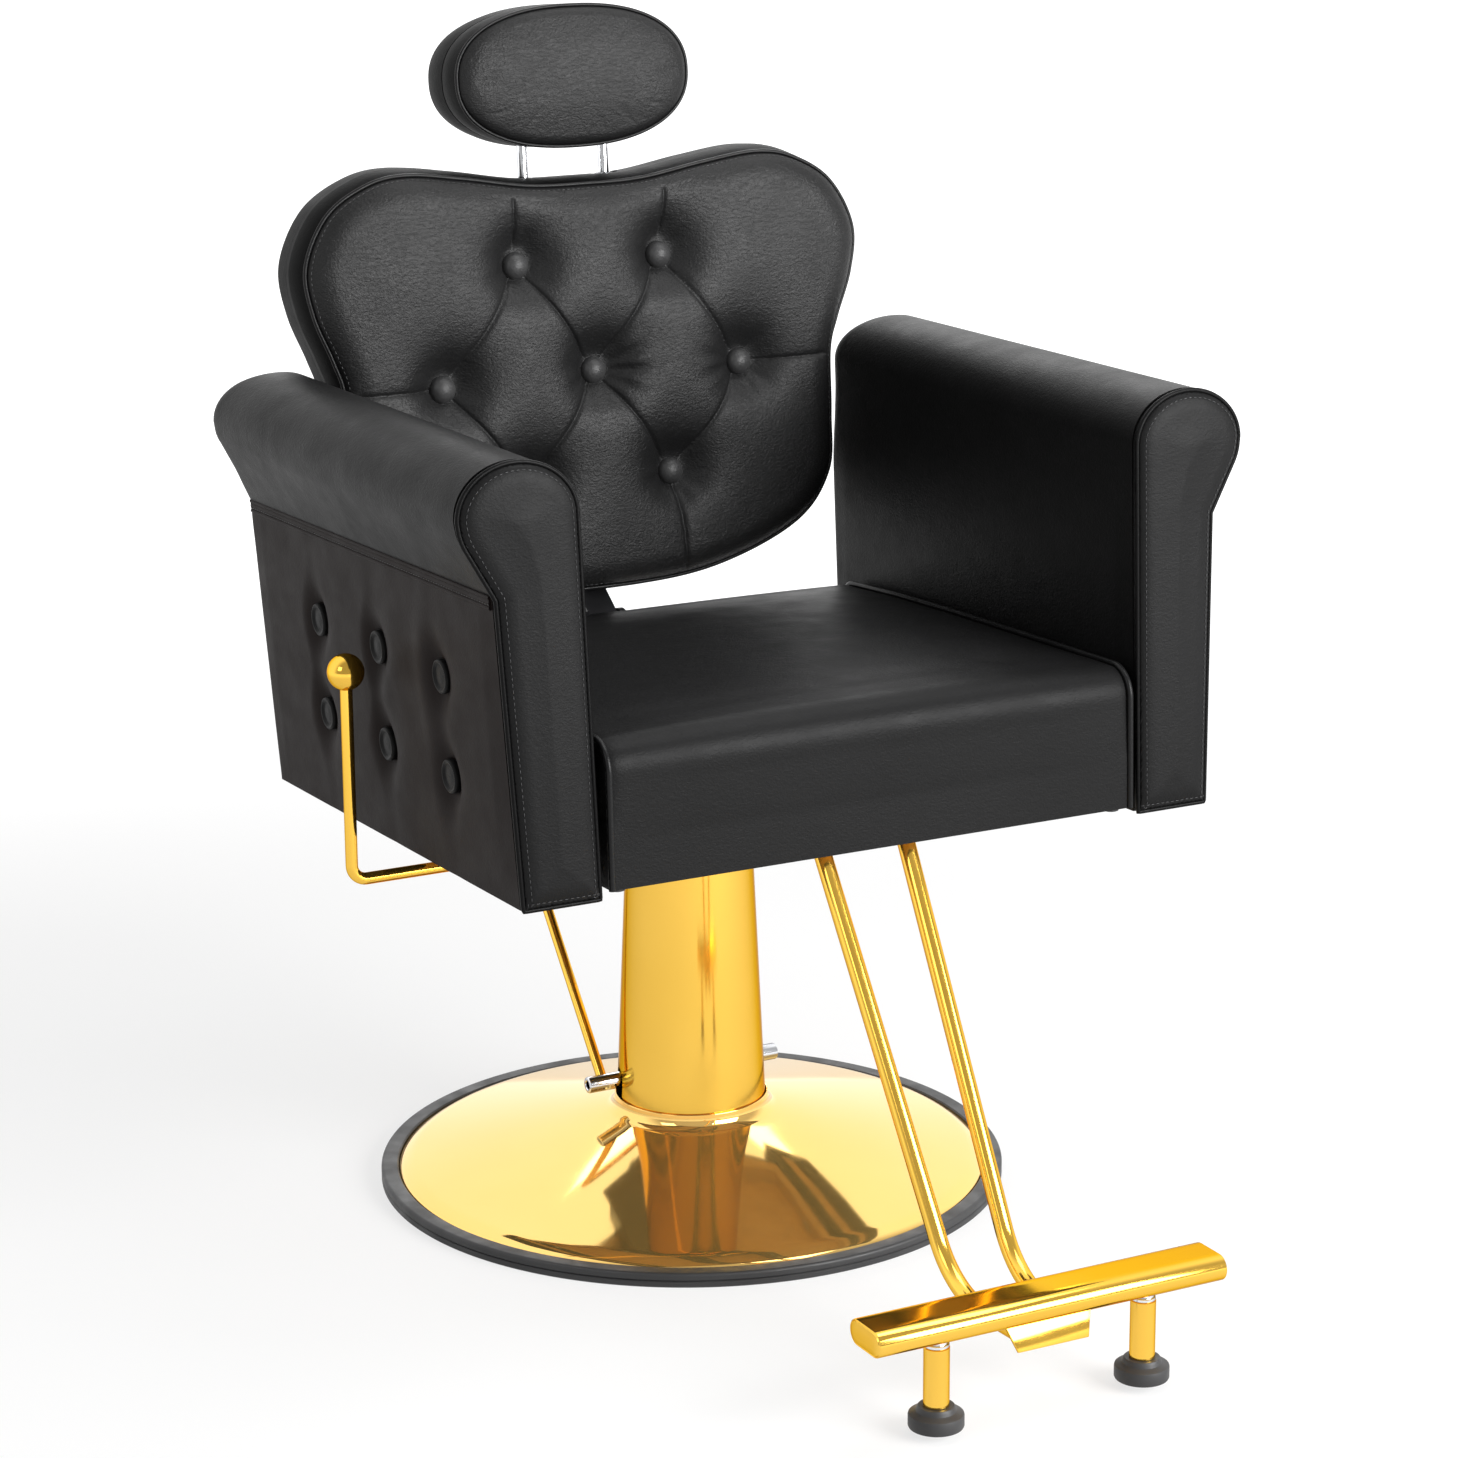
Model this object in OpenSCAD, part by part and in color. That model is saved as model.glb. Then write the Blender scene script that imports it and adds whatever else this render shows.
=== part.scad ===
// Hydraulic barber chair.
// Assembly frame: origin on the floor under the pump, +Z up, the sitter faces -Y,
// the sitter's right is -X. Every node is drawn in place. Millimetres and degrees.

/* [Base] */
// outside diameter of the rubber rim
base_d = 600; // [500:5:700]
// height of the rubber rim
rim_h = 14; // [12:1:22]
// width of the rubber rim seen from above
rim_w = 17; // [12:1:24]
// depth of the groove round the rim
groove_d = 1.6; // [1:0.2:3]
// thickness of the steel floor plate
plate_t = 6; // [4:1:8]
// gap between the floor and the floor plate
plate_up = 3; // [2:0.5:5]
// sheet thickness of the dish
dish_t = 1.6; // [1:0.2:2.4]
// width of the sloping lip of the dish
lip_w = 17; // [10:1:25]
// height of the inner edge of the lip
lip_h = 20; // [17:1:26]
// height of the dish where its neck curve starts
dish_h = 64; // [50:1:76]
// outside diameter of the neck
neck_d = 148; // [144:1:160]
// height of the top of the neck
neck_h = 80; // [78:1:84]
// radius of the curve between dish and neck
neck_r = 12; // [8:1:16]

/* [Pump] */
// diameter of the mounting foot of the pump
foot_d = 136; // [134:1:139]
// thickness of the mounting foot
foot_t = 10; // [8:1:14]
// outside diameter of the oil tank and the block
tank_d = 100; // [96:1:102]
// wall of the oil tank
tank_wall = 3; // [2:0.5:4]
// height of the top of the block
block_h = 118; // [114:1:122]
// height of the top of the oil tank
tank_h = 322; // [310:1:330]
// outside diameter of the pressure cylinder
bore_d = 56; // [52:1:60]
// wall of the pressure cylinder
bore_wall = 5; // [4:0.5:6]
// diameter of the ram
ram_d = 38; // [34:1:40]
// height of the piston
piston_h = 20; // [16:1:24]
// stroke of the ram
lift = 150; // [100:5:152]
// thickness of the gland plate
gland_t = 10; // [8:1:12]
// depth of the gland below its plate
gland_nose = 25; // [22:1:27]
// wall of the gold skirt
skirt_t = 1.5; // [1:0.5:2.5]
// diameter of the skirt at its top
skirt_top_d = 120; // [116:1:124]
// height of the bottom of the skirt
skirt_low = 72; // [70:1:76]
// height of the top of the skirt above the gland
skirt_over = 6; // [4:1:12]
// bolt size of the pump foot
foot_bolt = 8; // [6:1:10]

/* [Pedal] */
// diameter of the cross shaft
shaft_d = 16; // [14:1:18]
// length of the cross shaft
shaft_l = 204; // [180:2:230]
// cross shaft behind the pump axis
shaft_y = 19; // [17:1:20]
// height of the cross shaft
shaft_z = 95; // [93:1:97]
// distance of the cam tip from the shaft
cam_r = 20; // [19:0.5:21]
// swing of the pedal
pedal_swing = 38; // [30:1:40]
// diameter of the pedal rods
pedal_d = 10; // [8:1:12]
// distance between the pedal rods
pedal_w = 170; // [160:2:184]
// reach of the pedal behind the shaft
pedal_y = 193; // [150:1:210]
// rise of the pedal above the shaft
pedal_z = 230; // [180:1:240]
// diameter of the small plunger
plunger_d = 10; // [9:1:11]
// turns of the plunger spring
spring_turns = 4; // [3:1:6]

/* [Seat] */
// width of the seat
seat_w = 518; // [440:2:560]
// front of the seat from the pump axis
seat_front = 362; // [340:1:380]
// back of the seat from the pump axis
seat_back = 150; // [140:1:152]
// height of the seat underside above the steel plate of the frame
seat_up = 37.4; // [36:0.2:60]
// backward tilt of the seat
seat_tilt = 2; // [0:0.5:4]
// height of the wooden rails
rail_h = 45; // [40:1:55]
// thickness of the rails
rail_t = 15; // [12:1:18]
// thickness of the padded band round the rails
band_t = 4; // [2:0.5:6]
// thickness of the seat board
board_t = 15; // [10:1:18]
// thickness of the cushion at its edge
cushion_h = 82; // [60:1:100]
// crown in the middle of the cushion
cushion_crown = 7; // [0:1:15]
// radius of the rolled front edge
front_r = 26; // [15:1:40]
// radius of the side edges
side_r = 9; // [5:1:15]
// diameter of the piping cord
piping_d = 6; // [4:0.5:8]

/* [Seat frame] */
// steel plate thickness of the frame
frame_t = 6; // [5:0.5:8]
// distance between the outer faces of the frame ribs
frame_w = 121; // [116:1:140]
// thickness of the ribs
rib_t = 5; // [4:0.5:6]
// width of the bolted flanges
flange_w = 35; // [28:1:45]
// diameter of the swivel hub
hub_d = 76; // [70:1:84]
// height of the swivel hub
hub_h = 15; // [12:1:16]
// diameter of the swivel spigot on the ram
spigot_d = 30; // [26:1:32]
// thickness of the thrust washer
washer_t = 3; // [2:0.5:4]
// gap between the skirt and the thrust washer
hub_gap = 6; // [4:1:8]
// bolt size of the seat
seat_bolt = 8; // [6:1:10]
// thickness of the hinge cheeks
cheek_t = 6; // [5:0.5:8]
// gap between the hinge cheeks
cheek_gap = 32; // [30:1:36]

/* [Recline] */
// hinge behind the pump axis
pivot_y = 180; // [178:1:186]
// height of the hinge above the seat underside
pivot_up = 94.6; // [88.6:1:98.6]
// diameter of the hinge pin
pin_d = 12; // [10:1:14]
// distance between the hinge and the crank pin
crank_r = 116; // [112:1:118]
// angle of the crank behind the vertical
crank_a = 25; // [22:1:26]
// strut pin in front of the pump axis
strut_y = -118; // [-124:1:-114]
// strut pin below the seat underside
strut_drop = 7.4; // [5.4:1:9.4]
// outside diameter of the gas strut
strut_d = 25; // [22:1:26]
// diameter of the strut rod
strut_rod_d = 10; // [8:1:12]
// diameter of the lever rod
lever_d = 11; // [8:1:12]
// turning axis of the lever below the seat underside
lever_drop = 34.4; // [32.4:1:35.4]
// lever axis in front of the pump axis
lever_y = -87; // [-90:1:-85]
// reach of the lever to the side
lever_x = 380; // [374:1:400]
// height of the ball above the turning axis of the lever
lever_h = 190.5; // [130:0.5:250]
// diameter of the ball
ball_d = 33; // [26:1:36]
// bend radius of the lever
lever_bend = 14; // [12:1:25]

/* [Arms] */
// gap between the seat and the arms
arm_gap = 9.5; // [6:0.5:14]
// height of the arms above the seat underside
arm_h = 381.6; // [335:0.2:415]
// width of the rolled top
roll_w = 108; // [90:1:120]
// height of the rolled top
roll_h = 92; // [80:1:104]
// widening of the inner face up to the roll
arm_in_lean = 5; // [0:1:10]
// thickness of the arm at the seam under the roll
arm_seam_w = 83.5; // [70:0.5:95]
// seam under the roll below the top of the arm
seam_drop = 115; // [108:1:140]
// outward lean of the outer face
arm_flare = 2.25; // [0:0.25:4]
// backward lean of the front of the arms
arm_lean = 3.8; // [0:0.2:8]
// back of the arms at their foot
arm_back = 186; // [170:1:200]
// backward lean of the rear of the arms
arm_back_lean = 5.5; // [0:0.5:8]
// arm underside below the seat underside
arm_drop = 7; // [0:1:12]
// thickness of the padded facing
facing_t = 10; // [8:1:16]
// thickness of the plywood core
core_t = 18; // [12:1:22]
// diameter of the flat buttons
flat_button_d = 30; // [22:1:36]
// distance between flat buttons along the arm
flat_pitch_y = 136.5; // [110:0.5:150]
// distance between the two rows of flat buttons
flat_pitch_z = 87; // [60:1:110]
// rearmost upper button behind the pump axis
flat_y = 59; // [40:1:80]
// upper row of flat buttons below the seam
flat_drop = 98.6; // [70:0.2:120]

/* [Back] */
// width of the back across its lobes
back_w = 582; // [520:2:640]
// height of the back over its lobes
back_h = 408.5; // [360:0.5:460]
// backward rake of the back
rake = 4.93; // [2:0.01:10]
// front piping behind the pump axis at the foot of the back
back_y = 172.3; // [170:0.1:178]
// height of the foot of the back above the seat underside
back_up = 137.6; // [132.6:1:150.6]
// thickness of the back between its front and rear edge
back_t = 58; // [54:1:70]
// crown of the tufted front
tuft_crown = 19; // [8:1:30]
// depth of the button seats behind the front piping
tuft_seat = 6; // [2:1:9]
// crown of the rear
rear_crown = 7; // [2:1:14]
// thickness of the plywood board
ply_t = 14; // [10:1:16]
// front face of the board behind the front piping
ply_y = 24; // [22:1:28]
// diameter of the domed buttons
button_d = 25; // [18:1:32]
// width of the bracket plate
bracket_w = 40; // [36:1:48]
// height of the bracket plate above the foot of the back
bracket_h = 190; // [120:5:220]
// thickness of the bracket plate
bracket_t = 5; // [4:0.5:6]

/* [Headrest] */
// width of the headrest at its piping
head_w = 239.6; // [200:0.2:280]
// height of the headrest at its piping
head_h = 120; // [90:1:150]
// thickness between its front and rear edge
head_t = 66; // [50:1:80]
// height of the middle of the headrest above the top of the back
head_up = 80.4; // [72:0.2:95]
// front piping of the headrest behind that of the back
head_y = 12.8; // [8:0.1:16]
// front crown
head_crown = 13; // [6:1:20]
// diameter of the posts
post_d = 10; // [8:1:12]
// distance between the posts
post_w = 86; // [70:2:110]
// length of the posts inside the back
post_in = 99.3; // [80:0.1:120]
// outside diameter of the post sockets
socket_d = 16; // [15:1:18]
// diameter of the guides in the top of the back
guide_d = 26; // [20:1:30]

/* [Footrest] */
// diameter of the tubes
tube_d = 16; // [14:1:18]
// wall of the tubes
tube_wall = 2; // [1:0.5:3]
// half distance between the tubes where they start to bend
tube_x = 32.1; // [28:0.1:36]
// where the tubes meet the seat frame, behind the seat front
tube_back = 46.9; // [45:0.01:56]
// height of the start of the bend
tube_z = 115.7; // [112:0.1:120]
// rise of the tubes
tube_rise = 57.87; // [56.5:0.01:59]
// toe-in of the tubes
toe = 2.97; // [0:0.01:4]
// length of the foot bar
bar_l = 340; // [300:2:400]
// depth of the foot bar
bar_w = 50.5; // [40:0.5:60]
// height of the foot bar
bar_t = 23; // [18:0.5:28]
// wall of the foot bar
bar_wall = 2; // [1:0.5:3]
// middle of the foot bar, in front of the start of the bend
bar_ahead = 112.4; // [105:0.1:120]
// height of the middle of the foot bar
bar_z = 99.6; // [96:0.1:104]
// width of the bracket plate under the bar
tongue_plate_w = 156; // [130:2:170]
// width of the bent-down tongue at its root
tongue_w = 84; // [60:1:110]
// drop of the tongue
tongue_drop = 20; // [12:1:28]
// distance between the two legs
leg_gap = 202; // [200:2:240]
// diameter of the legs
leg_d = 22; // [16:1:26]
// diameter of the rubber feet
pad_d = 47; // [36:1:56]
// gap between the rubber feet and the floor
pad_up = 7.6; // [4:0.1:12]

/* [Hidden] */

// clearances
fit = 0.05;
gap = 0.3;

// colours
GOLD = [0.86, 0.62, 0.18];
RUBBER = [0.10, 0.10, 0.11];
HIDE = [0.06, 0.06, 0.06];
STEEL = [0.55, 0.56, 0.58];
BLACK = [0.12, 0.12, 0.13];
CHROME = [0.80, 0.81, 0.83];
WOOD = [0.72, 0.56, 0.36];

// smoothness of large and small rounds
fine = 96;
soft = 32;

// base and pump levels
rim_r = base_d / 2;
dish_r = rim_r - rim_w;
plate_r = dish_r - 3;
plate_top = plate_up + plate_t;
lip_r = dish_r - lip_w;
neck_or = neck_d / 2;
skirt_low_r = neck_or - dish_t - 2 * gap;
tank_r = tank_d / 2;
gland_top = tank_h + gland_t;
piston_low = block_h + 6;
skirt_h = gland_top + skirt_over;
foot_bolt_r = (foot_d + tank_d) / 4;
ram_shoulder = skirt_h + hub_gap;
head_af = 13;
head_t_bolt = 5.3;
plunger_y = shaft_y + cam_r * cos(pedal_swing / 2);
cam_tip_r = 4;
cam_hub_d = 20;
cam_w = 14;
plunger_top = shaft_z + cam_r * sin(pedal_swing / 2) - cam_tip_r - gap;
plunger_stroke = 2 * cam_r * sin(pedal_swing / 2);
collar_d = plunger_d + 6;
collar_top = plunger_top - 8;
plunger_l = 34 + plunger_stroke;
spring_low = collar_top - 27;

// seat levels
hub_low = ram_shoulder + washer_t;
plate_low = hub_low + hub_h;
frame_top = plate_low + frame_t;
seat_z = frame_top + seat_up;
board_h = rail_h - board_t;
pivot_z = seat_z + pivot_up;
strut_z = seat_z - strut_drop;
lever_z = seat_z - lever_drop;
ball_z = lever_z + lever_h;
rib_x = frame_w / 2;
frame_front = seat_front - 27;
rib_back = seat_back - 28;
crank_y = pivot_y + crank_r * sin(crank_a);
crank_z = pivot_z - crank_r * cos(crank_a);
strut_a = atan2(crank_z - strut_z, crank_y - strut_y);
strut_l = norm([crank_y - strut_y, crank_z - strut_z]);
cheek_x = cheek_gap / 2;
knuckle_w = cheek_gap - 2;
crank_pin_d = 10;

// arms
arm_top = seat_z + arm_h;
arm_seam_z = arm_top - seam_drop;
flat_z = arm_seam_z - flat_drop;
arm_in = seat_w / 2 + arm_gap;
roll_rx = roll_w / 2;
roll_rz = roll_h / 2;
roll_x = arm_in + arm_in_lean + roll_rx;
roll_z = arm_top - roll_rz;
under_x = roll_x + roll_rx - roll_rz;
seam_x = arm_in + arm_seam_w;
seam_away = [seam_x - under_x, arm_seam_z - roll_z];
under_a = atan2(seam_away.y, seam_away.x) + acos(roll_rz / norm(seam_away));
arm_low = under(arm_back, -arm_drop) - 10;
arm_base = under(-seat_front, -arm_drop);
core_x = arm_in + 11.5;
core_front = 40 - seat_front;
core_l = arm_back - 22 - core_front;
core_h = arm_h - 81.6 + arm_drop;
button_spots = [for (k = [0:2]) each [[flat_y - k * flat_pitch_y, flat_z + k * 4],
  [flat_y - 6 - k * flat_pitch_y, flat_z - flat_pitch_z + k * 4]]];
arm_bolt_y = [-250, 60];

// back
back_z = seat_z + back_up;
head_z = back_h + head_up;
post_low = guide_low() - post_in;
ply_back = ply_y + ply_t;
split_y = ply_y + ply_t / 2;
post_y = ply_back + socket_d / 2;
half_w = back_w / 2;

// height of a plane h above the seat underside, at depth y
function under(y, h) = seat_z + h / cos(seat_tilt) - y * tan(seat_tilt);
// points of an arc
function arc(c, rx, rz, a0, a1, n, first = 0) =
  [for (i = [first:n]) let(a = a0 + (a1 - a0) * i / n) c + [rx * cos(a), rz * sin(a)]];
// a closed outline drawn in by d along its normals
function inset(p, d) = let(n = len(p))
  [for (i = [0:n - 1]) let(t = p[(i + 1) % n] - p[(i + n - 1) % n]) p[i] + d * [-t.y, t.x] / norm(t)];
// a point on a smooth curve through a, b, c, d
function smooth(a, b, c, d, t) =
  (2 * b + (c - a) * t + (2 * a - 5 * b + 4 * c - d) * t * t + (3 * b - a - 3 * c + d) * t * t * t) / 2;
// a smooth closed curve through p with k points a span
function through(p, k) = let(n = len(p))
  [for (i = [0:n - 1], j = [0:k - 1])
    smooth(p[(i + n - 1) % n], p[i], p[(i + 1) % n], p[(i + 2) % n], j / k)];
// faces of a closed skin over m loops of n points, with a middle point at both ends
function skin(n, m) = concat(
  [for (j = [0:m - 2], i = [0:n - 1]) [j * n + i, (j + 1) * n + (i + 1) % n, j * n + (i + 1) % n]],
  [for (j = [0:m - 2], i = [0:n - 1]) [j * n + i, (j + 1) * n + i, (j + 1) * n + (i + 1) % n]],
  [for (i = [0:n - 1]) [n * m, i, (i + 1) % n]],
  [for (i = [0:n - 1]) [n * m + 1, (m - 1) * n + (i + 1) % n, (m - 1) * n + i]]);

// a flat drawing in depth and height, made into a plate across the chair
module across(x0, x1) translate([x0, 0, 0]) rotate([90, 0, 90]) linear_extrude(x1 - x0) children();
// a rod across the chair
module rod_x(d, x0, x1, y, z) translate([x0, y, z]) rotate([0, 90, 0]) cylinder(d = d, h = x1 - x0);
// a flat drawing in width and height, made into a slab from y0 to y1
module slab(y0, y1) translate([0, y1, 0]) rotate([90, 0, 0]) linear_extrude(y1 - y0) children();
// a part and its mirror image on the other side of the chair
module pair() {
  children();
  mirror([1, 0, 0]) children();
}
// the seat's own frame: its underside, tilted back
module lean() translate([0, 0, seat_z]) rotate([-seat_tilt, 0, 0]) children();
// the back's own frame: x, depth behind the front piping, height above its foot
module on_back() translate([0, back_y, back_z]) rotate([-rake, 0, 0]) children();
// the gas strut's own frame: +Y runs from its front pin to the crank pin
module on_strut() translate([0, strut_y, strut_z]) rotate([strut_a, 0, 0]) children();
// a bolt head at the origin with its shank along +Z
module bolt(d, l) {
  translate([0, 0, -head_t_bolt]) cylinder(d = head_af / cos(30), h = head_t_bolt, $fn = 6);
  cylinder(d = d, h = l, $fn = soft);
}

// ---------- base ----------

// moulded rubber rim that grips the floor plate and covers the hem of the dish
module base_rim() color(RUBBER) rotate_extrude($fn = fine) polygon([
  [plate_r - 4, 0], [rim_r, 0], [rim_r, rim_h * 0.38], [rim_r - groove_d, rim_h * 0.45],
  [rim_r, rim_h * 0.52], [rim_r, rim_h - 2.5], [rim_r - 2.5, rim_h], [dish_r + 2, rim_h],
  [dish_r + gap, rim_h - 1.7], [dish_r + gap, plate_top], [plate_r + gap, plate_top],
  [plate_r + gap, plate_up], [plate_r - 4, plate_up]]);

module foot_bolt_holes(d, z0, h) for (a = [45:90:315])
  rotate([0, 0, a]) translate([foot_bolt_r, 0, z0]) cylinder(d = d, h = h, $fn = soft);

module floor_plate() color(STEEL) difference() {
  translate([0, 0, plate_up]) cylinder(r = plate_r, h = plate_t, $fn = fine);
  foot_bolt_holes(foot_bolt + 2 * fit, plate_up - 1, plate_t + 2);
}

// pressed sheet dish: hem, sloping lip, straight cone and a curved neck
module base_dish() {
  shoulder_r = neck_or + neck_r;
  slope = atan2(dish_h - lip_h, lip_r - shoulder_r);
  c = [shoulder_r, dish_h + neck_r / cos(slope)];
  n = [sin(slope), cos(slope)];
  color(GOLD) rotate_extrude($fn = fine) polygon(concat(
    [[dish_r, plate_top], [dish_r, rim_h - 2], [lip_r, lip_h]],
    arc(c, neck_r, neck_r, 270 - slope, 180, 8),
    [[neck_or, neck_h], [neck_or - dish_t, neck_h]],
    arc(c, neck_r + dish_t, neck_r + dish_t, 180, 270 - slope, 8),
    [[lip_r, lip_h] - dish_t * n, [dish_r - dish_t, rim_h - 2 - dish_t * 0.6],
      [dish_r - dish_t, plate_top]]));
}

// cast block: mounting foot, shaft bore, cam chamber, plunger bore and oil way
module pump_block() {
  chamber_y = [shaft_y - cam_hub_d / 2 - 1.5, shaft_y + cam_r + cam_tip_r + 2];
  chamber_z = [shaft_z - cam_hub_d / 2 - 2, shaft_z + cam_hub_d / 2 + 2];
  color(STEEL) difference() {
    union() {
      translate([0, 0, plate_top]) cylinder(d = foot_d, h = foot_t, $fn = fine);
      translate([0, 0, plate_top]) cylinder(r = tank_r, h = block_h - plate_top, $fn = fine);
    }
    rod_x(shaft_d + 2 * fit, -tank_r, tank_r, shaft_y, shaft_z, $fn = soft);
    translate([-cam_w / 2 - 2, chamber_y[0], chamber_z[0]])
      cube([cam_w + 4, chamber_y[1] - chamber_y[0], chamber_z[1] - chamber_z[0]]);
    translate([0, plunger_y, plate_top + foot_t + 15])
      cylinder(d = plunger_d + 2 * fit, h = spring_low - plate_top - foot_t - 14, $fn = soft);
    translate([0, plunger_y, spring_low]) cylinder(d = collar_d + 1.6, h = 40, $fn = soft);
    translate([0, 12, plate_top + foot_t + 14]) cylinder(d = 5, h = block_h, $fn = soft);
    translate([0, plunger_y, plate_top + foot_t + 17]) rotate([90, 0, 0])
      cylinder(d = 5, h = plunger_y - 12, $fn = soft);
    foot_bolt_holes(foot_bolt + 2 * fit, plate_top - 1, foot_t + 2);
  }
}

module pump_bolts() color(BLACK) for (a = [45:90:315])
  rotate([0, 0, a]) translate([foot_bolt_r, 0, plate_top + foot_t]) rotate([180, 0, 0])
    bolt(foot_bolt, foot_t + plate_t);

module oil_tank() color(STEEL) translate([0, 0, block_h]) difference() {
  cylinder(r = tank_r, h = tank_h - block_h, $fn = fine);
  translate([0, 0, -1]) cylinder(r = tank_r - tank_wall, h = tank_h, $fn = fine);
}

module pressure_cylinder() color(STEEL) translate([0, 0, block_h]) difference() {
  cylinder(d = bore_d, h = tank_h - block_h - 16, $fn = fine);
  translate([0, 0, -1]) cylinder(d = bore_d - 2 * bore_wall, h = tank_h, $fn = fine);
}

// screwed cap that closes the tank, centres the cylinder and guides the ram
module pump_gland() color(BLACK) difference() {
  union() {
    translate([0, 0, tank_h]) cylinder(r = tank_r, h = gland_t, $fn = fine);
    translate([0, 0, tank_h - 16]) cylinder(r = tank_r - tank_wall - gap, h = 16, $fn = fine);
    translate([0, 0, tank_h - gland_nose])
      cylinder(d = bore_d - 2 * bore_wall - 2 * gap, h = gland_nose, $fn = fine);
  }
  translate([0, 0, tank_h - gland_nose - 1])
    cylinder(d = ram_d + 2 * fit, h = gland_t + gland_nose + 2, $fn = fine);
}

module wiper_seal() color(RUBBER) translate([0, 0, gland_top]) difference() {
  cylinder(d = ram_d + 12, h = 4, $fn = fine);
  translate([0, 0, -1]) cylinder(d = ram_d + 2 * gap, h = 6, $fn = fine);
}

function skirt_r(z) = skirt_low_r + (skirt_top_d / 2 - skirt_low_r) * (z - skirt_low) / (skirt_h - skirt_low);

// ring that centres the skirt on the gland
module skirt_collar() color(RUBBER) rotate_extrude($fn = fine) polygon([
  [tank_r + gap, tank_h], [skirt_r(tank_h) - skirt_t - gap, tank_h],
  [skirt_r(gland_top) - skirt_t - gap, gland_top], [tank_r + gap, gland_top]]);

// tapered gold skirt with an open notch on each side for the cross shaft
module pump_skirt() color(GOLD) difference() {
  rotate_extrude($fn = fine) polygon([[skirt_low_r, skirt_low], [skirt_top_d / 2, skirt_h],
    [skirt_top_d / 2 - skirt_t, skirt_h], [skirt_low_r - skirt_t, skirt_low]]);
  rod_x(shaft_d + 8, -skirt_low_r - 5, skirt_low_r + 5, shaft_y, shaft_z, $fn = soft);
  translate([-skirt_low_r - 5, shaft_y - shaft_d / 2 - 4, skirt_low - 5])
    cube([2 * skirt_low_r + 10, shaft_d + 8, shaft_z - skirt_low + 5]);
}

// ---------- lift ----------

// chromed ram with a stepped spigot for the swivel
module pump_ram() color(CHROME) {
  translate([0, 0, piston_low]) cylinder(d = ram_d, h = ram_shoulder - piston_low, $fn = fine);
  translate([0, 0, ram_shoulder]) cylinder(d = spigot_d, h = frame_top + 0.5 - ram_shoulder, $fn = fine);
}

module pump_piston() color(BLACK) translate([0, 0, piston_low]) difference() {
  cylinder(d = bore_d - 2 * bore_wall - 2 * fit, h = piston_h, $fn = fine);
  translate([0, 0, -1]) cylinder(d = ram_d + 0.02, h = piston_h + 2, $fn = fine);
}

module thrust_washer() color(STEEL) translate([0, 0, ram_shoulder]) difference() {
  cylinder(d = hub_d - 20, h = washer_t - 0.2, $fn = fine);
  translate([0, 0, -1]) cylinder(d = spigot_d + 2 * fit, h = washer_t + 2, $fn = fine);
}

// keeper on the spigot that holds the swivel down
module ram_cap() color(BLACK) {
  translate([0, 0, frame_top + 0.5]) cylinder(d = spigot_d + 14, h = 4, $fn = fine);
}

// ---------- pedal ----------

module pedal_shaft() color(CHROME) difference() {
  rod_x(shaft_d, -shaft_l / 2, shaft_l / 2, shaft_y, shaft_z, $fn = soft);
  for (s = [-1, 1])
    rod_x(shaft_d * 0.5, s * shaft_l / 2 - 12, s * shaft_l / 2 + 12, shaft_y, shaft_z, $fn = soft);
  for (s = [-1, 1])
    translate([s * pedal_w / 2, shaft_y, shaft_z]) rotate([-atan2(pedal_y, pedal_z), 0, 0])
      cylinder(d = pedal_d + 0.02, h = shaft_d, $fn = soft);
}

// cam on the shaft that presses the plunger
module pump_cam() {
  a = pedal_swing / 2;
  color(BLACK) difference() {
    union() {
      rod_x(cam_hub_d, -cam_w / 2, cam_w / 2, shaft_y, shaft_z, $fn = soft);
      rod_x(2 * cam_tip_r, -cam_w / 2, cam_w / 2,
        shaft_y + cam_r * cos(a), shaft_z + cam_r * sin(a), $fn = soft);
      translate([0, shaft_y, shaft_z]) rotate([a, 0, 0]) translate([-cam_w / 2 + 1, 0, -cam_tip_r / 2])
        cube([cam_w - 2, cam_r, cam_tip_r]);
    }
    rod_x(shaft_d + 0.02, -cam_w, cam_w, shaft_y, shaft_z, $fn = soft);
  }
}

// bent foot pedal: two rods and a cross bar
module pump_pedal() {
  a = atan2(pedal_y, pedal_z);
  l = norm([pedal_y, pedal_z]);
  r = 20;
  color(GOLD) translate([0, shaft_y, shaft_z]) rotate([-a, 0, 0]) {
    pair() translate([pedal_w / 2, 0, 0]) cylinder(d = pedal_d, h = l - r, $fn = soft);
    pair() translate([pedal_w / 2 - r, 0, l - r]) rotate([90, 0, 0])
      rotate_extrude(angle = 90, $fn = soft) translate([r, 0]) circle(d = pedal_d, $fn = soft);
    translate([-pedal_w / 2 + r, 0, l]) rotate([0, 90, 0])
      cylinder(d = pedal_d, h = pedal_w - 2 * r, $fn = soft);
  }
}

module plunger() color(CHROME) {
  translate([0, plunger_y, plunger_top - plunger_l]) cylinder(d = plunger_d, h = plunger_l, $fn = soft);
  translate([0, plunger_y, collar_top - 3]) cylinder(d = collar_d, h = 3, $fn = soft);
}

// coil spring under the collar of the plunger
module plunger_spring() {
  w = 1;
  r = plunger_d / 2 + 2;
  m = 16 * spring_turns;
  rise = collar_top - 3 - spring_low - 2 * w;
  loops = [for (i = [0:m]) let(a = 22.5 * i) [for (k = [0:7]) let(b = -45 * k, q = r + w * cos(b))
    [q * cos(a), q * sin(a), w + rise * i / m + w * sin(b)]]];
  color(STEEL) translate([0, plunger_y, spring_low]) polyhedron(
    points = concat([for (l = loops) each l],
      [[r, 0, w], [r * cos(22.5 * m), r * sin(22.5 * m), w + rise]]),
    faces = skin(8, m + 1));
}

// ---------- seat frame ----------

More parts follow.
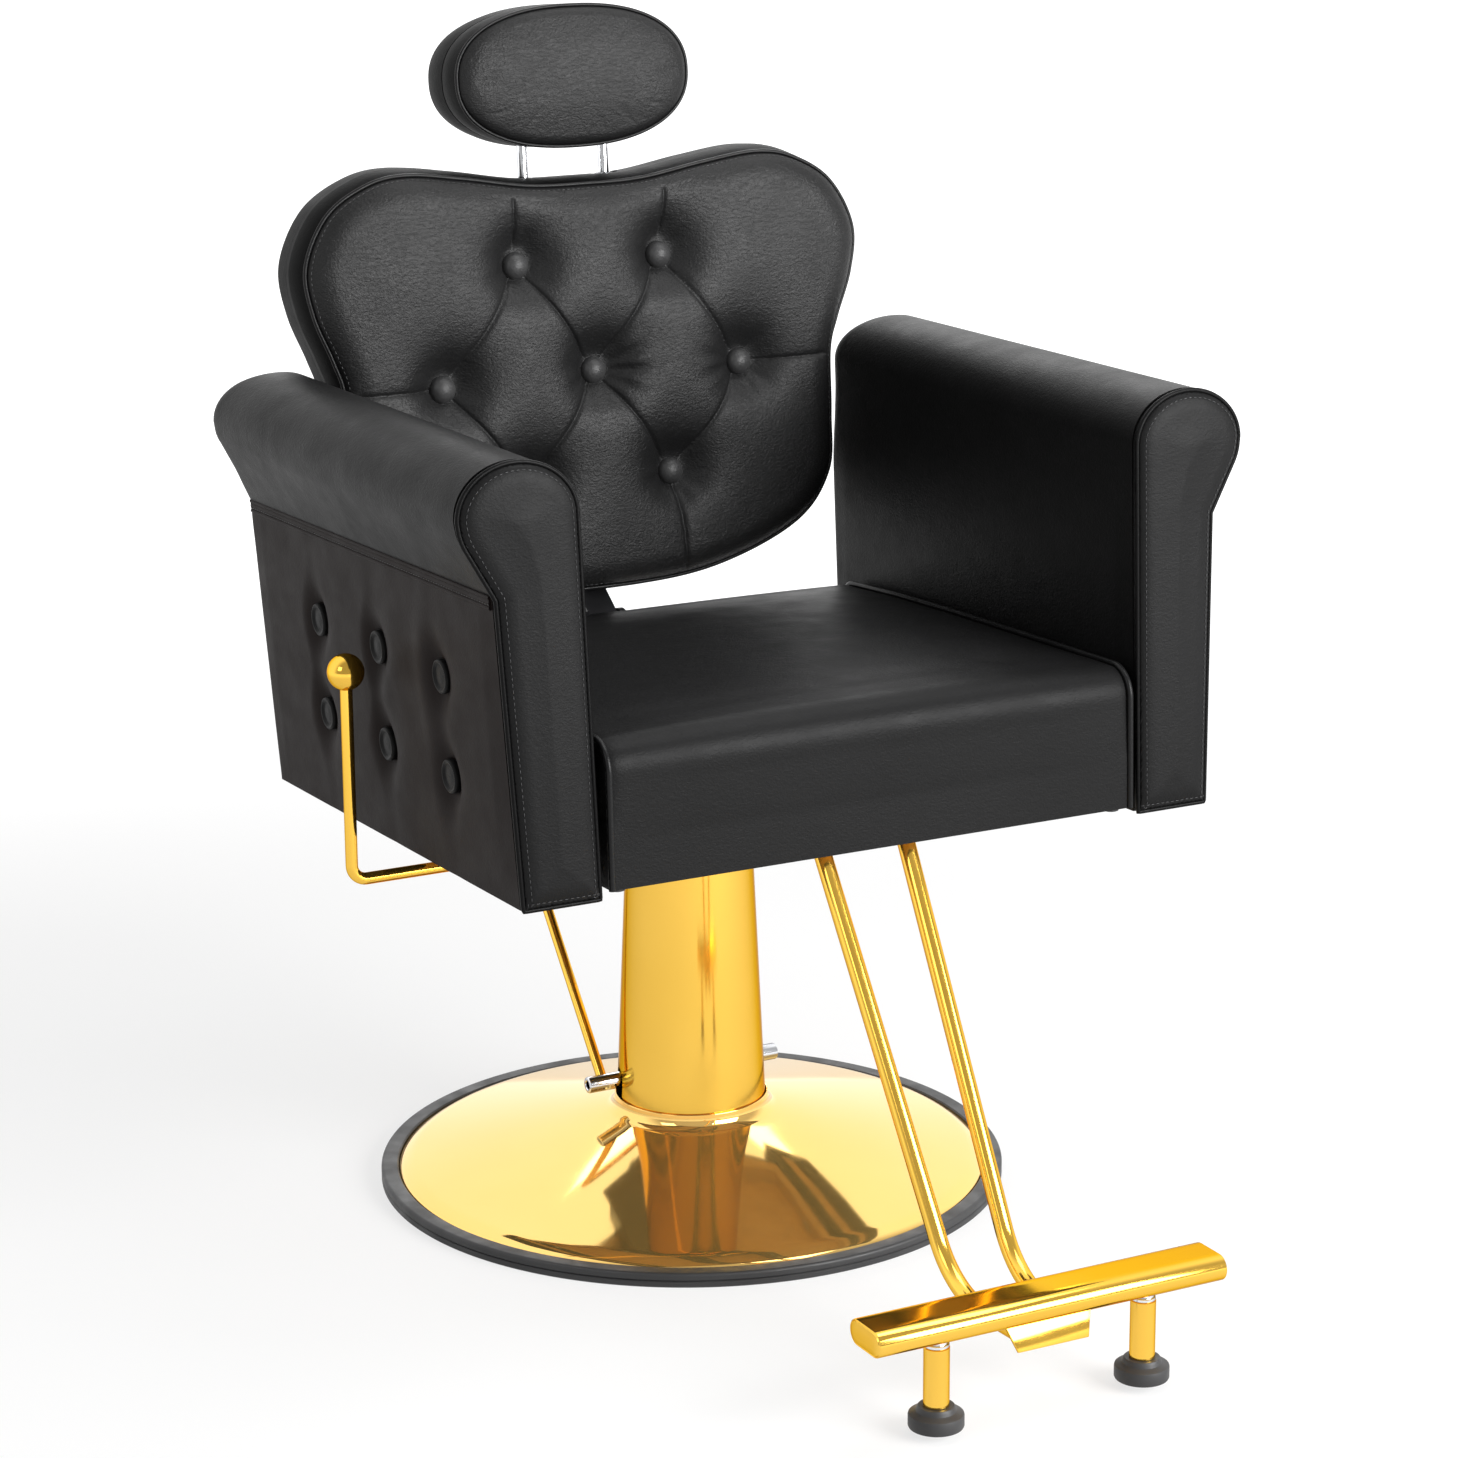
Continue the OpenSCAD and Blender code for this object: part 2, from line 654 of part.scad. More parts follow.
// welded frame: swivel hub, floor plate, two ribs with bolted flanges, footrest sockets,
// strut lugs and the two cheeks of the back hinge
module seat_frame() {
  nose_z = under(-frame_front, board_h) - 33;
  lug_x = [9, 14];
  color(BLACK) difference() {
    union() {
      translate([0, 0, hub_low]) cylinder(d = hub_d, h = hub_h, $fn = fine);
      translate([-rib_x, lever_y + 16, plate_low]) cube([2 * rib_x, pivot_y + 24 - lever_y - 16, frame_t]);
      pair() across(rib_x - rib_t, rib_x) polygon([
        [-frame_front, nose_z], [lever_y - 38, lever_z - 14], [lever_y + 22, lever_z - 14],
        [lever_y + 30, plate_low], [pivot_y - 10, plate_low], [pivot_y - 10, under(seat_back, 0) - 6],
        [rib_back, under(seat_back, 0) - 6], [rib_back, under(rib_back, board_h)],
        [-frame_front, under(-frame_front, board_h)]]);
      lean() pair() translate([rib_x - rib_t, -frame_front, board_h - rib_t])
        cube([flange_w, frame_front + rib_back - 3, rib_t]);
      // front cross plate and footrest sockets
      translate([-rib_x + 1, tube_top_y() - 2, nose_z + 8])
        cube([2 * rib_x - 2, frame_t, under(tube_top_y() + 4, board_h) - nose_z - 8]);
      pair() tube_frame() translate([0, 0, tube_len() - 22]) cylinder(d = tube_d + 6, h = 20, $fn = soft);
      // strut cross plate and lugs
      translate([-rib_x + 1, strut_y - 22, strut_z - 26]) cube([2 * rib_x - 2, frame_t, 50]);
      pair() across(lug_x[0], lug_x[1]) {
        translate([strut_y, strut_z]) circle(r = 13, $fn = soft);
        polygon([[strut_y - 18, strut_z - 20], [strut_y, strut_z - 13], [strut_y, strut_z + 13],
          [strut_y - 18, strut_z + 20]]);
      }
      // hinge cheeks and their gussets
      pair() across(cheek_x, cheek_x + cheek_t) {
        translate([pivot_y, pivot_z]) circle(r = 17, $fn = soft);
        polygon([[pivot_y - 20, plate_low], [pivot_y + 24, plate_low], [pivot_y + 24, plate_low + 20],
          [pivot_y + 17, pivot_z], [pivot_y - 17, pivot_z], [pivot_y - 20, plate_low + 60]]);
      }
      pair() translate([cheek_x, pivot_y - 16, plate_low])
        cube([rib_x - cheek_x - 1, frame_t, under(seat_back, 0) - 6 - plate_low]);
    }
    translate([0, 0, hub_low - 1]) cylinder(d = spigot_d + 2 * fit, h = hub_h + frame_t + 2, $fn = fine);
    rod_x(lever_d + 4.1, -rib_x - 1, rib_x + 1, lever_y, lever_z, $fn = soft);
    rod_x(8.1, -20, 20, strut_y, strut_z, $fn = soft);
    rod_x(pin_d + 2 * fit, -cheek_x - cheek_t - 1, cheek_x + cheek_t + 1, pivot_y, pivot_z, $fn = soft);
    pair() tube_frame() translate([0, 0, tube_len() - 40]) cylinder(d = tube_d + 0.2, h = 40.1, $fn = soft);
    lean() seat_bolt_spots() translate([0, 0, -1]) cylinder(d = seat_bolt + 2 * fit, h = rail_h, $fn = soft);
    translate([-9, strut_y - 25, strut_z - 30]) cube([18, 12, 12]);
    // rear notch of the floor plate, where the strut swings down at full recline
    translate([1 - cheek_x, pivot_y - 68, plate_low - 1]) cube([2 * cheek_x - 2, 100, frame_t + 1.5]);
  }
}

// seat bolts come up through the flanges
module seat_bolt_spots() for (x = [-1, 1], y = [-seat_front + 92, seat_back - 70])
  translate([x * (rib_x + flange_w / 2 + 1), y, 0]) children();

module seat_bolts() color(STEEL) lean() seat_bolt_spots()
  translate([0, 0, board_h - rib_t]) bolt(seat_bolt, rib_t + board_t - 3);

module seat_board() color(WOOD) lean() difference() {
  x = seat_w / 2 - band_t - rail_t - gap;
  y0 = -seat_front + band_t + rail_t + gap;
  y1 = seat_back - band_t - rail_t - gap;
  translate([-x, y0, board_h]) cube([2 * x, y1 - y0, board_t]);
  seat_bolt_spots() cylinder(d = seat_bolt + 2 * fit, h = rail_h + 1, $fn = soft);
}

// front and rear rails
module seat_end_rails() color(WOOD) lean() difference() {
  for (y = [-seat_front + band_t, seat_back - band_t - rail_t])
    translate([-seat_w / 2 + band_t, y, 0]) cube([seat_w - 2 * band_t, rail_t, rail_h]);
  strut_notch(seat_back - band_t - rail_t - 1, seat_back);
}

// clears the gas strut
module strut_notch(y0, y1) translate([-strut_d / 2 - 7, y0, -1]) cube([strut_d + 14, y1 - y0, 18]);

module seat_side_rails() {
  l = seat_front + seat_back - 2 * band_t - 2 * rail_t;
  color(WOOD) lean() difference() {
    pair() translate([seat_w / 2 - band_t - rail_t, -seat_front + band_t + rail_t, 0])
      cube([rail_t, l, rail_h]);
    arm_bolt_spots() rotate([0, 90, 0])
      cylinder(d = seat_bolt + 2 * fit, h = seat_w, center = true, $fn = soft);
  }
}

// the bolts that hold the arms
module arm_bolt_spots() for (y = arm_bolt_y) translate([0, y, board_h - 9]) children();

module seat_band() color(HIDE) lean() difference() {
  translate([-seat_w / 2, -seat_front, 0]) cube([seat_w, seat_front + seat_back, rail_h]);
  translate([-seat_w / 2 + band_t, -seat_front + band_t, -1])
    cube([seat_w - 2 * band_t, seat_front + seat_back - 2 * band_t, rail_h + 2]);
  strut_notch(seat_back - band_t - 1, seat_back + 1);
  arm_bolt_spots() rotate([0, 90, 0]) cylinder(d = 22 + 2 * gap, h = 2 * seat_w, center = true, $fn = soft);
}

// a rounded rectangle between x -x1 to x1 and y y0 to y1
function box_loop(x1, y0, y1, r) = let(
  k = [[x1 - r, y1 - r, 0], [-x1 + r, y1 - r, 90], [-x1 + r, y0 + r, 180], [x1 - r, y0 + r, 270]])
  [for (c = [0:3]) let(a = k[c], b = k[(c + 1) % 4],
      p = [a.x, a.y] + r * [cos(a.z + 90), sin(a.z + 90)], q = [b.x, b.y] + r * [cos(b.z), sin(b.z)])
    each concat([for (i = [0:3]) [a.x, a.y] + r * [cos(a.z + 30 * i), sin(a.z + 30 * i)]],
      [for (i = [1:6]) p + (q - p) * i / 7])];

// cushion with a rolled front, tighter side edges and a crowned top
module seat_cushion() {
  top = rail_h + cushion_h;
  x1 = seat_w / 2;
  y0 = -seat_front;
  y1 = seat_back;
  ym = (y0 + y1) / 2;
  edge = function (y) side_r + (front_r - side_r) * min(1, max(0, (y0 + 70 - y) / 60));
  low = [for (h = [[rail_h, 0], [rail_h + 20, 0.8], [top - front_r, 0.8]])
    [for (p = box_loop(x1 - 0.8 + h[1], y0 + 0.8 - h[1], y1 + 0.8 - h[1], 14)) [p.x, p.y, h[0]]]];
  rolled = [for (a = [20:23.333:90]) [for (p = box_loop(x1 - side_r * (1 - cos(a)),
    y0 + front_r * (1 - cos(a)), y1 - side_r * (1 - cos(a)), 14))
      [p.x, p.y, top - edge(p.y) * (1 - sin(a))]]];
  crown = [for (s = [0.94, 0.8, 0.6, 0.35, 0.12])
    [for (p = box_loop(x1 - side_r, y0 + front_r, y1 - side_r, 14))
      [p.x * s, ym + (p.y - ym) * s, top + cushion_crown * (1 - pow(s, 3))]]];
  loops = concat(low, rolled, crown);
  color(HIDE) lean() polyhedron(
    points = concat([for (l = loops) each l],
      [[0, ym, rail_h], [0, ym, top + cushion_crown]]),
    faces = skin(len(loops[0]), len(loops)));
}

// piping up both front corners and back along the side edges
module seat_piping() color(HIDE) lean() pair() difference() {
  x = seat_w / 2;
  across(x + 0.3, x + 0.3 + piping_d * 0.6) difference() {
    polygon(side_edge(0));
    polygon(side_edge(piping_d));
  }
}
function side_edge(d) = concat(
  [[-seat_front + d, -d], [seat_back - d, -d]],
  arc([seat_back - side_r, rail_h + cushion_h - side_r], side_r - d * 0.8, side_r - d, 0, 90, 4),
  arc([-seat_front + front_r, rail_h + cushion_h - front_r], front_r - d, front_r - d, 90, 180, 6));

// small plastic glides under the corners of the seat and the arms
module glides() color(RUBBER) lean() pair() {
  for (y = [-seat_front + 40, arm_back - 40]) translate([core_x + core_t + 14, y, -arm_drop - 4])
    cylinder(d = 16, h = 4, $fn = soft);
  translate([seat_w / 2 - 12, -seat_front + 14, -4]) cylinder(d = 14, h = 4, $fn = soft);
}

// ---------- arms ----------

// front view of the right-hand arm, from its foot at height low
function arm_outline(low) = concat(
  [[arm_in, low], [seam_x - (arm_seam_z - low) * tan(arm_flare), low], [seam_x, arm_seam_z]],
  arc([under_x, roll_z], roll_rz, roll_rz, under_a, 0, 4),
  arc([roll_x, roll_z], roll_rx, roll_rz, 0, 180, 20, 1));

// depth of the arm front, d behind its front face, at height z
function arm_front_y(z, d) = -seat_front + d / cos(arm_lean) + (z - arm_base) * tan(arm_lean);

function arm_side() = let(r = 40, y = arm_back + (roll_z - arm_base) * tan(arm_back_lean)) concat(
  [[arm_front_y(arm_base, facing_t), under(-seat_front + facing_t, -arm_drop)],
    [arm_back, under(arm_back, -arm_drop)]],
  arc([y - r, arm_top + 1 - r], r, r, 0, 90, 8),
  [[arm_front_y(arm_top + 1, facing_t), arm_top + 1]]);

// places a child on the outer face of the arm, with +Z pointing outwards
module on_side(p) translate([seam_x - (arm_seam_z - p[1]) * tan(arm_flare), p[0], p[1]])
  rotate([0, 90 + arm_flare, 0]) children();

// scroll arm: straight sides, rolled top, dished seats for the flat buttons
module arm_pad() difference() {
  intersection() {
    slab(-seat_front, arm_back + 60) polygon(arm_outline(arm_low));
    across(arm_in - 5, roll_x + roll_w) polygon(arm_side());
  }
  for (p = button_spots) on_side(p) {
    translate([0, 0, 64]) sphere(r = 70, $fn = fine);
    translate([0, 0, -7.5]) cylinder(d = flat_button_d + 2 * gap, h = 10, $fn = soft);
  }
  lean() translate([core_x, core_front, -arm_drop - 5]) cube([core_t + gap, core_l, core_h + 5]);
  lean() arm_bolt_spots() rotate([0, 90, 0]) cylinder(d = 22 + 2 * gap, h = core_x + 1, $fn = soft);
}

module arm_right() color(HIDE) mirror([1, 0, 0]) arm_pad();
module arm_left() color(HIDE) arm_pad();

// the arm front's own frame, leaning back
module on_facing() translate([0, -seat_front, arm_base]) rotate([-arm_lean, 0, 0]) children();
function facing_outline(d) = [for (p = inset(arm_outline(arm_base + 1), d)) p - [0, arm_base]];

// padded front of each arm with the piping cord sewn round it
module arm_facings() color(HIDE) pair() on_facing() {
  slab(facing_t / 2, facing_t) polygon(facing_outline(0));
  slab(0, facing_t / 2) polygon(facing_outline(piping_d / 2));
  slab(-2, 0) polygon(facing_outline(piping_d + 3));
  slab(-3.5, -2) polygon(facing_outline(2 * piping_d + 6));
  difference() {
    slab(-1, facing_t / 2) polygon(facing_outline(-1));
    slab(-2, facing_t / 2 + 1) polygon(facing_outline(piping_d / 2));
  }
}

// flat covered button with a raised rim
module arm_buttons() color(HIDE) pair() for (p = button_spots) on_side(p) rotate_extrude($fn = soft)
  polygon([[0, -7.5], [flat_button_d / 2 - 1, -7.5], [flat_button_d / 2, -6], [flat_button_d / 2, -1.5],
    [flat_button_d / 2 - 1.5, 0], [flat_button_d / 2 - 4, 0], [flat_button_d / 2 - 5.5, -1.2], [0, -0.8]]);

module arm_cores() color(WOOD) lean() pair() difference() {
  translate([core_x, core_front + gap, -arm_drop]) cube([core_t, core_l - 2 * gap, core_h]);
  arm_bolt_spots() translate([core_x - 1, 0, 0]) rotate([0, 90, 0])
    cylinder(d = seat_bolt + 2 * fit, h = 16, $fn = soft);
}

module arm_spacers() color(STEEL) lean() pair() arm_bolt_spots() translate([seat_w / 2 - band_t, 0, 0])
  rotate([0, 90, 0]) difference() {
    cylinder(d = 22, h = core_x - seat_w / 2 + band_t, $fn = soft);
    translate([0, 0, -1]) cylinder(d = seat_bolt + 2 * fit, h = 60, $fn = soft);
  }

module arm_bolts() color(STEEL) lean() pair() arm_bolt_spots()
  translate([seat_w / 2 - band_t - rail_t, 0, 0]) rotate([0, 90, 0])
    bolt(seat_bolt, core_x - seat_w / 2 + band_t + rail_t + 13);

// ---------- recline ----------

module lever_bushes() color(CHROME) pair() difference() {
  rod_x(lever_d + 4, rib_x - rib_t - 1, rib_x + 1, lever_y, lever_z, $fn = soft);
  rod_x(lever_d + 2 * fit, rib_x - rib_t - 2, rib_x + 2, lever_y, lever_z, $fn = soft);
}

// bent gold rod from the frame, out under the arm and up beside it
module recline_lever() color(GOLD) {
  rod_x(lever_d, -lever_x + lever_bend, rib_x + 6, lever_y, lever_z, $fn = soft);
  translate([-lever_x + lever_bend, lever_y, lever_z + lever_bend]) rotate([90, 0, 0]) rotate([0, 0, 180])
    rotate_extrude(angle = 90, $fn = soft) translate([lever_bend, 0]) circle(d = lever_d, $fn = soft);
  translate([-lever_x, lever_y, lever_z + lever_bend])
    cylinder(d = lever_d, h = ball_z - lever_z - lever_bend - ball_d * 0.3, $fn = soft);
}

module lever_ball() color(GOLD) difference() {
  translate([-lever_x, lever_y, ball_z]) sphere(d = ball_d, $fn = fine);
  translate([-lever_x, lever_y, ball_z - ball_d])
    cylinder(d = lever_d + 0.02, h = ball_d * 0.7, $fn = soft);
}

// finger on the lever that lifts the release pin
module release_finger() color(BLACK) difference() {
  union() {
    rod_x(lever_d + 8, -6, 6, lever_y, lever_z, $fn = soft);
    translate([-5, lever_y - 20, lever_z + 2.5]) cube([10, 18, 5]);
  }
  rod_x(lever_d + 0.02, -7, 7, lever_y, lever_z, $fn = soft);
}

// strut head, rod and the piston inside the cylinder
module strut_rod() color(CHROME) on_strut() difference() {
  union() {
    rod_x(22, -8, 8, 0, 0, $fn = soft);
    translate([-8, 0, -11]) cube([16, 22, 22]);
    translate([0, 21, 0]) rotate([-90, 0, 0]) cylinder(d = strut_rod_d, h = 138, $fn = soft);
    translate([0, 150, 0]) rotate([-90, 0, 0]) cylinder(d = strut_d - 4 - 2 * gap, h = 8, $fn = soft);
  }
  rod_x(8 + 2 * fit, -9, 9, 0, 0, $fn = soft);
  translate([0, 15, -12]) cylinder(d = 6 + 2 * fit, h = 19, $fn = soft);
}

module release_pin() color(STEEL) on_strut() translate([0, 15, lever_z + 9.2 - strut_z])
  cylinder(d = 6, h = 16, $fn = soft);

// lockable gas cylinder with a slotted fork for the crank pin
module strut_cylinder() {
  fork = [6.5, 11];
  tail = strut_l - 26;
  color(BLACK) on_strut() difference() {
    union() {
      translate([0, 100, 0]) rotate([-90, 0, 0]) cylinder(d = strut_d, h = tail - 100, $fn = soft);
      for (s = [-1, 1]) translate([s * (fork[0] + fork[1]) / 2 - (fork[1] - fork[0]) / 2, tail - 2, -10])
        cube([fork[1] - fork[0], 28, 20]);
      for (s = [-1, 1]) rod_x(26, min(s * fork[0], s * fork[1]), max(s * fork[0], s * fork[1]),
        strut_l, 0, $fn = soft);
    }
    translate([0, 104, 0]) rotate([-90, 0, 0]) cylinder(d = strut_d - 4, h = tail - 110, $fn = soft);
    translate([0, 99, 0]) rotate([-90, 0, 0]) cylinder(d = strut_rod_d + 2 * fit, h = 8, $fn = soft);
    for (z = [-3.5, 3.5]) rod_x(crank_pin_d + 2.4, -12, 12, strut_l, z, $fn = soft);
    translate([-12, strut_l - crank_pin_d / 2 - 1.2, -3.5]) cube([24, crank_pin_d + 2.4, 7]);
  }
}

// headed pin of the back hinge and the pin at the front of the gas strut
module hinge_pins() color(STEEL) {
  rod_x(pin_d, -cheek_x - cheek_t - 1, cheek_x + cheek_t + 1, pivot_y, pivot_z, $fn = soft);
  pair() rod_x(pin_d + 8, cheek_x + cheek_t, cheek_x + cheek_t + 4, pivot_y, pivot_z, $fn = soft);
  rod_x(8, -17, 17, strut_y, strut_z, $fn = soft);
}

// ---------- back ----------

// knuckle, crank with its welded pin, and the plate screwed to the back board
module back_bracket() {
  d = [crank_y - pivot_y, crank_z - pivot_z] / crank_r;
  n = [-d.y, d.x];
  c = [crank_y, crank_z];
  p = [pivot_y, pivot_z];
  color(BLACK) difference() {
    union() {
      rod_x(30, -knuckle_w / 2, knuckle_w / 2, pivot_y, pivot_z, $fn = soft);
      across(-5, 5) {
        translate(c) circle(r = 11, $fn = soft);
        polygon([p + 13 * n, p - 13 * n, c - 10 * n, c + 10 * n]);
      }
      across(-knuckle_w / 2, knuckle_w / 2) polygon([p + [-10, 8], p + [14, -4],
        bend_at(ply_back + bracket_t, -9), bend_at(ply_back + bracket_t, 6),
        bend_at(ply_back, 6), bend_at(ply_back, -2.5)]);
      on_back() translate([-bracket_w / 2, ply_back, -2.5])
        cube([bracket_w, bracket_t, bracket_h + 2.5]);
    }
    rod_x(pin_d + 2 * fit, -knuckle_w, knuckle_w, pivot_y, pivot_z, $fn = soft);
  }
  color(BLACK) rod_x(crank_pin_d, -13, 13, crank_y, crank_z, $fn = soft);
}
// a point of the back's own side view, in depth and height
function bend_at(v, w) = [back_y + v * cos(rake) + w * sin(rake), back_z - v * sin(rake) + w * cos(rake)];

// half outline of the back as shares of half its width and of its height
back_half = [[0.38, 0.025], [0.704, 0.11], [0.849, 0.218], [0.88, 0.357], [0.893, 0.51], [0.925, 0.588],
  [0.984, 0.698], [0.999, 0.808], [0.917, 0.92], [0.777, 0.982], [0.636, 1], [0.433, 0.983], [0.206, 0.957]];
back_points = concat([[0, 0.005]], back_half, [[0, 0.953]],
  [for (i = [len(back_half) - 1:-1:0]) [-back_half[i].x, back_half[i].y]]);
back_outline = through([for (p = back_points) [p.x * half_w, p.y * back_h]], 2);
back_middle = [0, back_h * 0.52];
// button seats, in width and height
tufts = [[0.261, 0.772], [-0.261, 0.772], [0.544, 0.501], [-0.544, 0.501], [0, 0.513],
  [0.267, 0.256], [-0.267, 0.256]];
tuft_spots = [for (t = tufts) [t.x * half_w, t.y * back_h]];
// the valley that one button pulls into the front
function valley(q, t, depth) = depth * exp(-pow(norm(q - t) / 34, 2));
function pulled(q, spots, depth) = len(spots) == 0 ? 0 : max([for (t = spots) valley(q, t, depth)]);

plain_rings = [0.96, 0.84, 0.66, 0.44, 0.2];
tufted_rings = [0.965, 0.9, 0.82, 0.74, 0.66, 0.58, 0.5, 0.42, 0.34, 0.26, 0.18, 0.08];
// loops of a padded face: recess for a board, side band, then the crowned front
function pad_loops(o, c, y_board, y_split, y_edge, recess, crown, rings, spots, seat) = concat(
  [[for (p = inset(o, recess)) [p.x, y_board, p.y]], [for (p = inset(o, recess)) [p.x, y_split, p.y]],
    [for (p = inset(o, piping_d / 2)) [p.x, y_split, p.y]],
    [for (p = inset(o, piping_d / 2 - 2)) [p.x, (y_split + y_edge) / 2, p.y]],
    [for (p = inset(o, piping_d / 2)) [p.x, y_edge + piping_d / 2, p.y]],
    [for (p = inset(o, piping_d / 2)) [p.x, y_edge - 1, p.y]]],
  [for (s = rings)
    [for (p = inset(o, piping_d / 2)) let(q = c + (p - c) * s)
      [q.x, y_edge - 1 - crown * pow(1 - pow(s, 4), 0.8) + pulled(q, spots, crown + seat) , q.y]]]);
module padded(o, c, y_board, y_split, y_edge, recess, crown, rings, spots = [], seat = 0) {
  loops = pad_loops(o, c, y_board, y_split, y_edge, recess, crown, rings, spots, seat);
  polyhedron(points = concat([for (l = loops) each l],
      [[c.x, y_board, c.y], [c.x, y_edge - 1 - crown + pulled(c, spots, crown + seat), c.y]]),
    faces = skin(len(o), len(loops)));
}

module back_board() color(WOOD) on_back() slab(ply_y, ply_back) polygon(inset(back_outline, 12 + gap));

// deep-buttoned front cushion
module back_cushion() color(HIDE) on_back() difference() {
  padded(back_outline, back_middle, ply_y, split_y, 0, 12, tuft_crown, tufted_rings,
    tuft_spots, tuft_seat);
  for (t = tuft_spots) translate([t.x, tuft_seat, t.y]) rotate([90, 0, 0])
    cylinder(d = button_d + 2 * gap, h = 60, $fn = soft);
}

// padded rear with recesses for the bracket and the post sockets
module back_rear() color(HIDE) on_back() difference() {
  translate([0, 2 * split_y, 0]) mirror([0, 1, 0])
    padded(back_outline, back_middle, ply_y, split_y, 2 * split_y - back_t, 12, rear_crown, plain_rings);
  translate([-bracket_w / 2 - gap, ply_y, -20])
    cube([bracket_w + 2 * gap, ply_t + bracket_t + gap, bracket_h + 20 + gap]);
  for (s = [-1, 1]) translate([s * post_w / 2 - socket_d / 2 - gap, ply_y, post_low - 28])
    cube([socket_d + 2 * gap, ply_t + socket_d + gap, back_h]);
  for (s = [-1, 1]) translate([s * post_w / 2, post_y, guide_low()])
    cylinder(d = guide_d + 2 * gap, h = 40, $fn = soft);
}

module back_piping() color(HIDE) on_back() difference() {
  slab(-piping_d / 2, piping_d / 2) polygon(inset(back_outline, -piping_d / 2));
  slab(-piping_d, piping_d) polygon(inset(back_outline, piping_d / 2));
}

// domed covered buttons, pulled into the front
module back_buttons() color(HIDE) on_back() for (t = tuft_spots) translate([t.x, tuft_seat, t.y])
  rotate([90, 0, 0]) intersection() {
    cylinder(d = button_d, h = 20, $fn = soft);
    translate([0, 0, -10]) sphere(r = 18, $fn = soft);
  }

// ---------- headrest ----------

function guide_low() = back_h * 0.953;
// closed oval, a little fuller than an ellipse
head_outline = [for (i = [0:47]) let(a = 7.5 * i, c = cos(a), s = sin(a))
  [head_w / 2 * sign(c) * pow(abs(c), 0.87), head_z + head_h / 2 * sign(s) * pow(abs(s), 0.87)]];
head_middle = [0, head_z];
head_split = post_y;

// socket tubes behind the back board and the guides in its top edge
module post_fittings() color(CHROME) on_back() pair() translate([post_w / 2, post_y, 0]) difference() {
  union() {
    translate([0, 0, post_low - 27]) cylinder(d = socket_d, h = guide_low() - post_low + 27, $fn = soft);
    translate([0, 0, guide_low()]) cylinder(d = guide_d, h = 4, $fn = soft);
    translate([0, 0, guide_low() + 4]) cylinder(d = guide_d - 8, h = 2, $fn = soft);
  }
  translate([0, 0, post_low - 28]) cylinder(d = post_d + 2 * fit, h = back_h, $fn = soft);
}

module headrest_posts() color(CHROME) on_back() pair() translate([post_w / 2, post_y, post_low])
  cylinder(d = post_d, h = head_z - post_low, $fn = soft);

module headrest_core() color(WOOD) on_back() difference() {
  slab(head_split - ply_t / 2, head_split + ply_t / 2) polygon(inset(head_outline, 12 + gap));
  for (s = [-1, 1]) translate([s * post_w / 2, post_y, head_z - head_h])
    cylinder(d = post_d + 0.02, h = head_h, $fn = soft);
}

// oval cushion with its piping, front and rear pads meet over the core
module headrest_cushion() color(HIDE) on_back() {
  difference() {
    union() {
      padded(head_outline, head_middle, head_split - ply_t / 2, head_split, head_y,
        12, head_crown, plain_rings);
      translate([0, 2 * head_split, 0]) mirror([0, 1, 0])
        padded(head_outline, head_middle, head_split - ply_t / 2, head_split,
          2 * head_split - head_y - head_t, 12, head_crown / 2, plain_rings);
    }
    for (s = [-1, 1]) translate([s * post_w / 2, post_y, head_z - head_h])
      cylinder(d = post_d + 2 * gap, h = head_h - 20, $fn = soft);
  }
  difference() {
    slab(head_y - piping_d / 2, head_y + piping_d / 2) polygon(inset(head_outline, -piping_d / 2));
    slab(head_y - piping_d, head_y + piping_d) polygon(inset(head_outline, piping_d / 2));
  }
}

// ---------- footrest ----------

tongue_t = 3;
bar_low = bar_z - bar_t / 2;
pad_top = pad_up + 19;
leg_top = bar_low - 9;
run_z = bar_z - bar_t / 2 - tongue_t - tube_d / 2;
tube_bend = (tube_z - run_z) / (1 - cos(tube_rise));
function tube_len() = (under(-seat_front + 42, board_h) - 4 - tube_z) / sin(tube_rise);
function tube_top_y() = tube_back - seat_front;
tube_y = round(10 * (tube_top_y() - tube_len() * cos(tube_rise))) / 10;
bar_y = tube_y - bar_ahead;

// frame of the right-hand tube: origin where its bend starts, +Z up along the tube
module tube_plane() translate([tube_x, tube_y, tube_z]) rotate([0, 0, -toe]) children();
module tube_frame() tube_plane() rotate([-(90 - tube_rise), 0, 0]) children();

// gold tubes from the frame sockets down to the bar
module tube_ring() difference() {
  circle(d = tube_d, $fn = soft);
  circle(d = tube_d - 2 * tube_wall, $fn = soft);
}
module footrest_tubes() color(GOLD) pair() {
  tube_frame() linear_extrude(tube_len() - 3) tube_ring();
  tube_plane() {
    translate([0, -sin(tube_rise) * tube_bend, cos(tube_rise) * tube_bend])
      rotate([90, 0, 90]) rotate([0, 0, -90])
        rotate_extrude(angle = tube_rise, $fn = fine) translate([tube_bend, 0]) tube_ring();
    translate([0, -sin(tube_rise) * tube_bend, run_z - tube_z]) rotate([90, 0, 0])
      linear_extrude(tube_y - bar_y - sin(tube_rise) * tube_bend + 6) tube_ring();
  }
}

module bar_profile(d) {
  square([bar_w - bar_t, bar_t - 2 * d], center = true);
  for (s = [-1, 1]) translate([s * (bar_w - bar_t) / 2, 0]) circle(d = bar_t - 2 * d, $fn = soft);
}

// flat-oval tube, closed at both ends, with a hole over each leg
module foot_bar() color(GOLD) difference() {
  translate([-bar_l / 2, bar_y, bar_z]) rotate([90, 0, 90]) difference() {
    linear_extrude(bar_l) bar_profile(0);
    translate([0, 0, bar_wall]) linear_extrude(bar_l - 2 * bar_wall) bar_profile(bar_wall);
  }
  leg_spots() translate([0, 0, bar_low - 1]) cylinder(d = leg_d - 4 + 2 * fit, h = bar_wall + 4, $fn = soft);
}

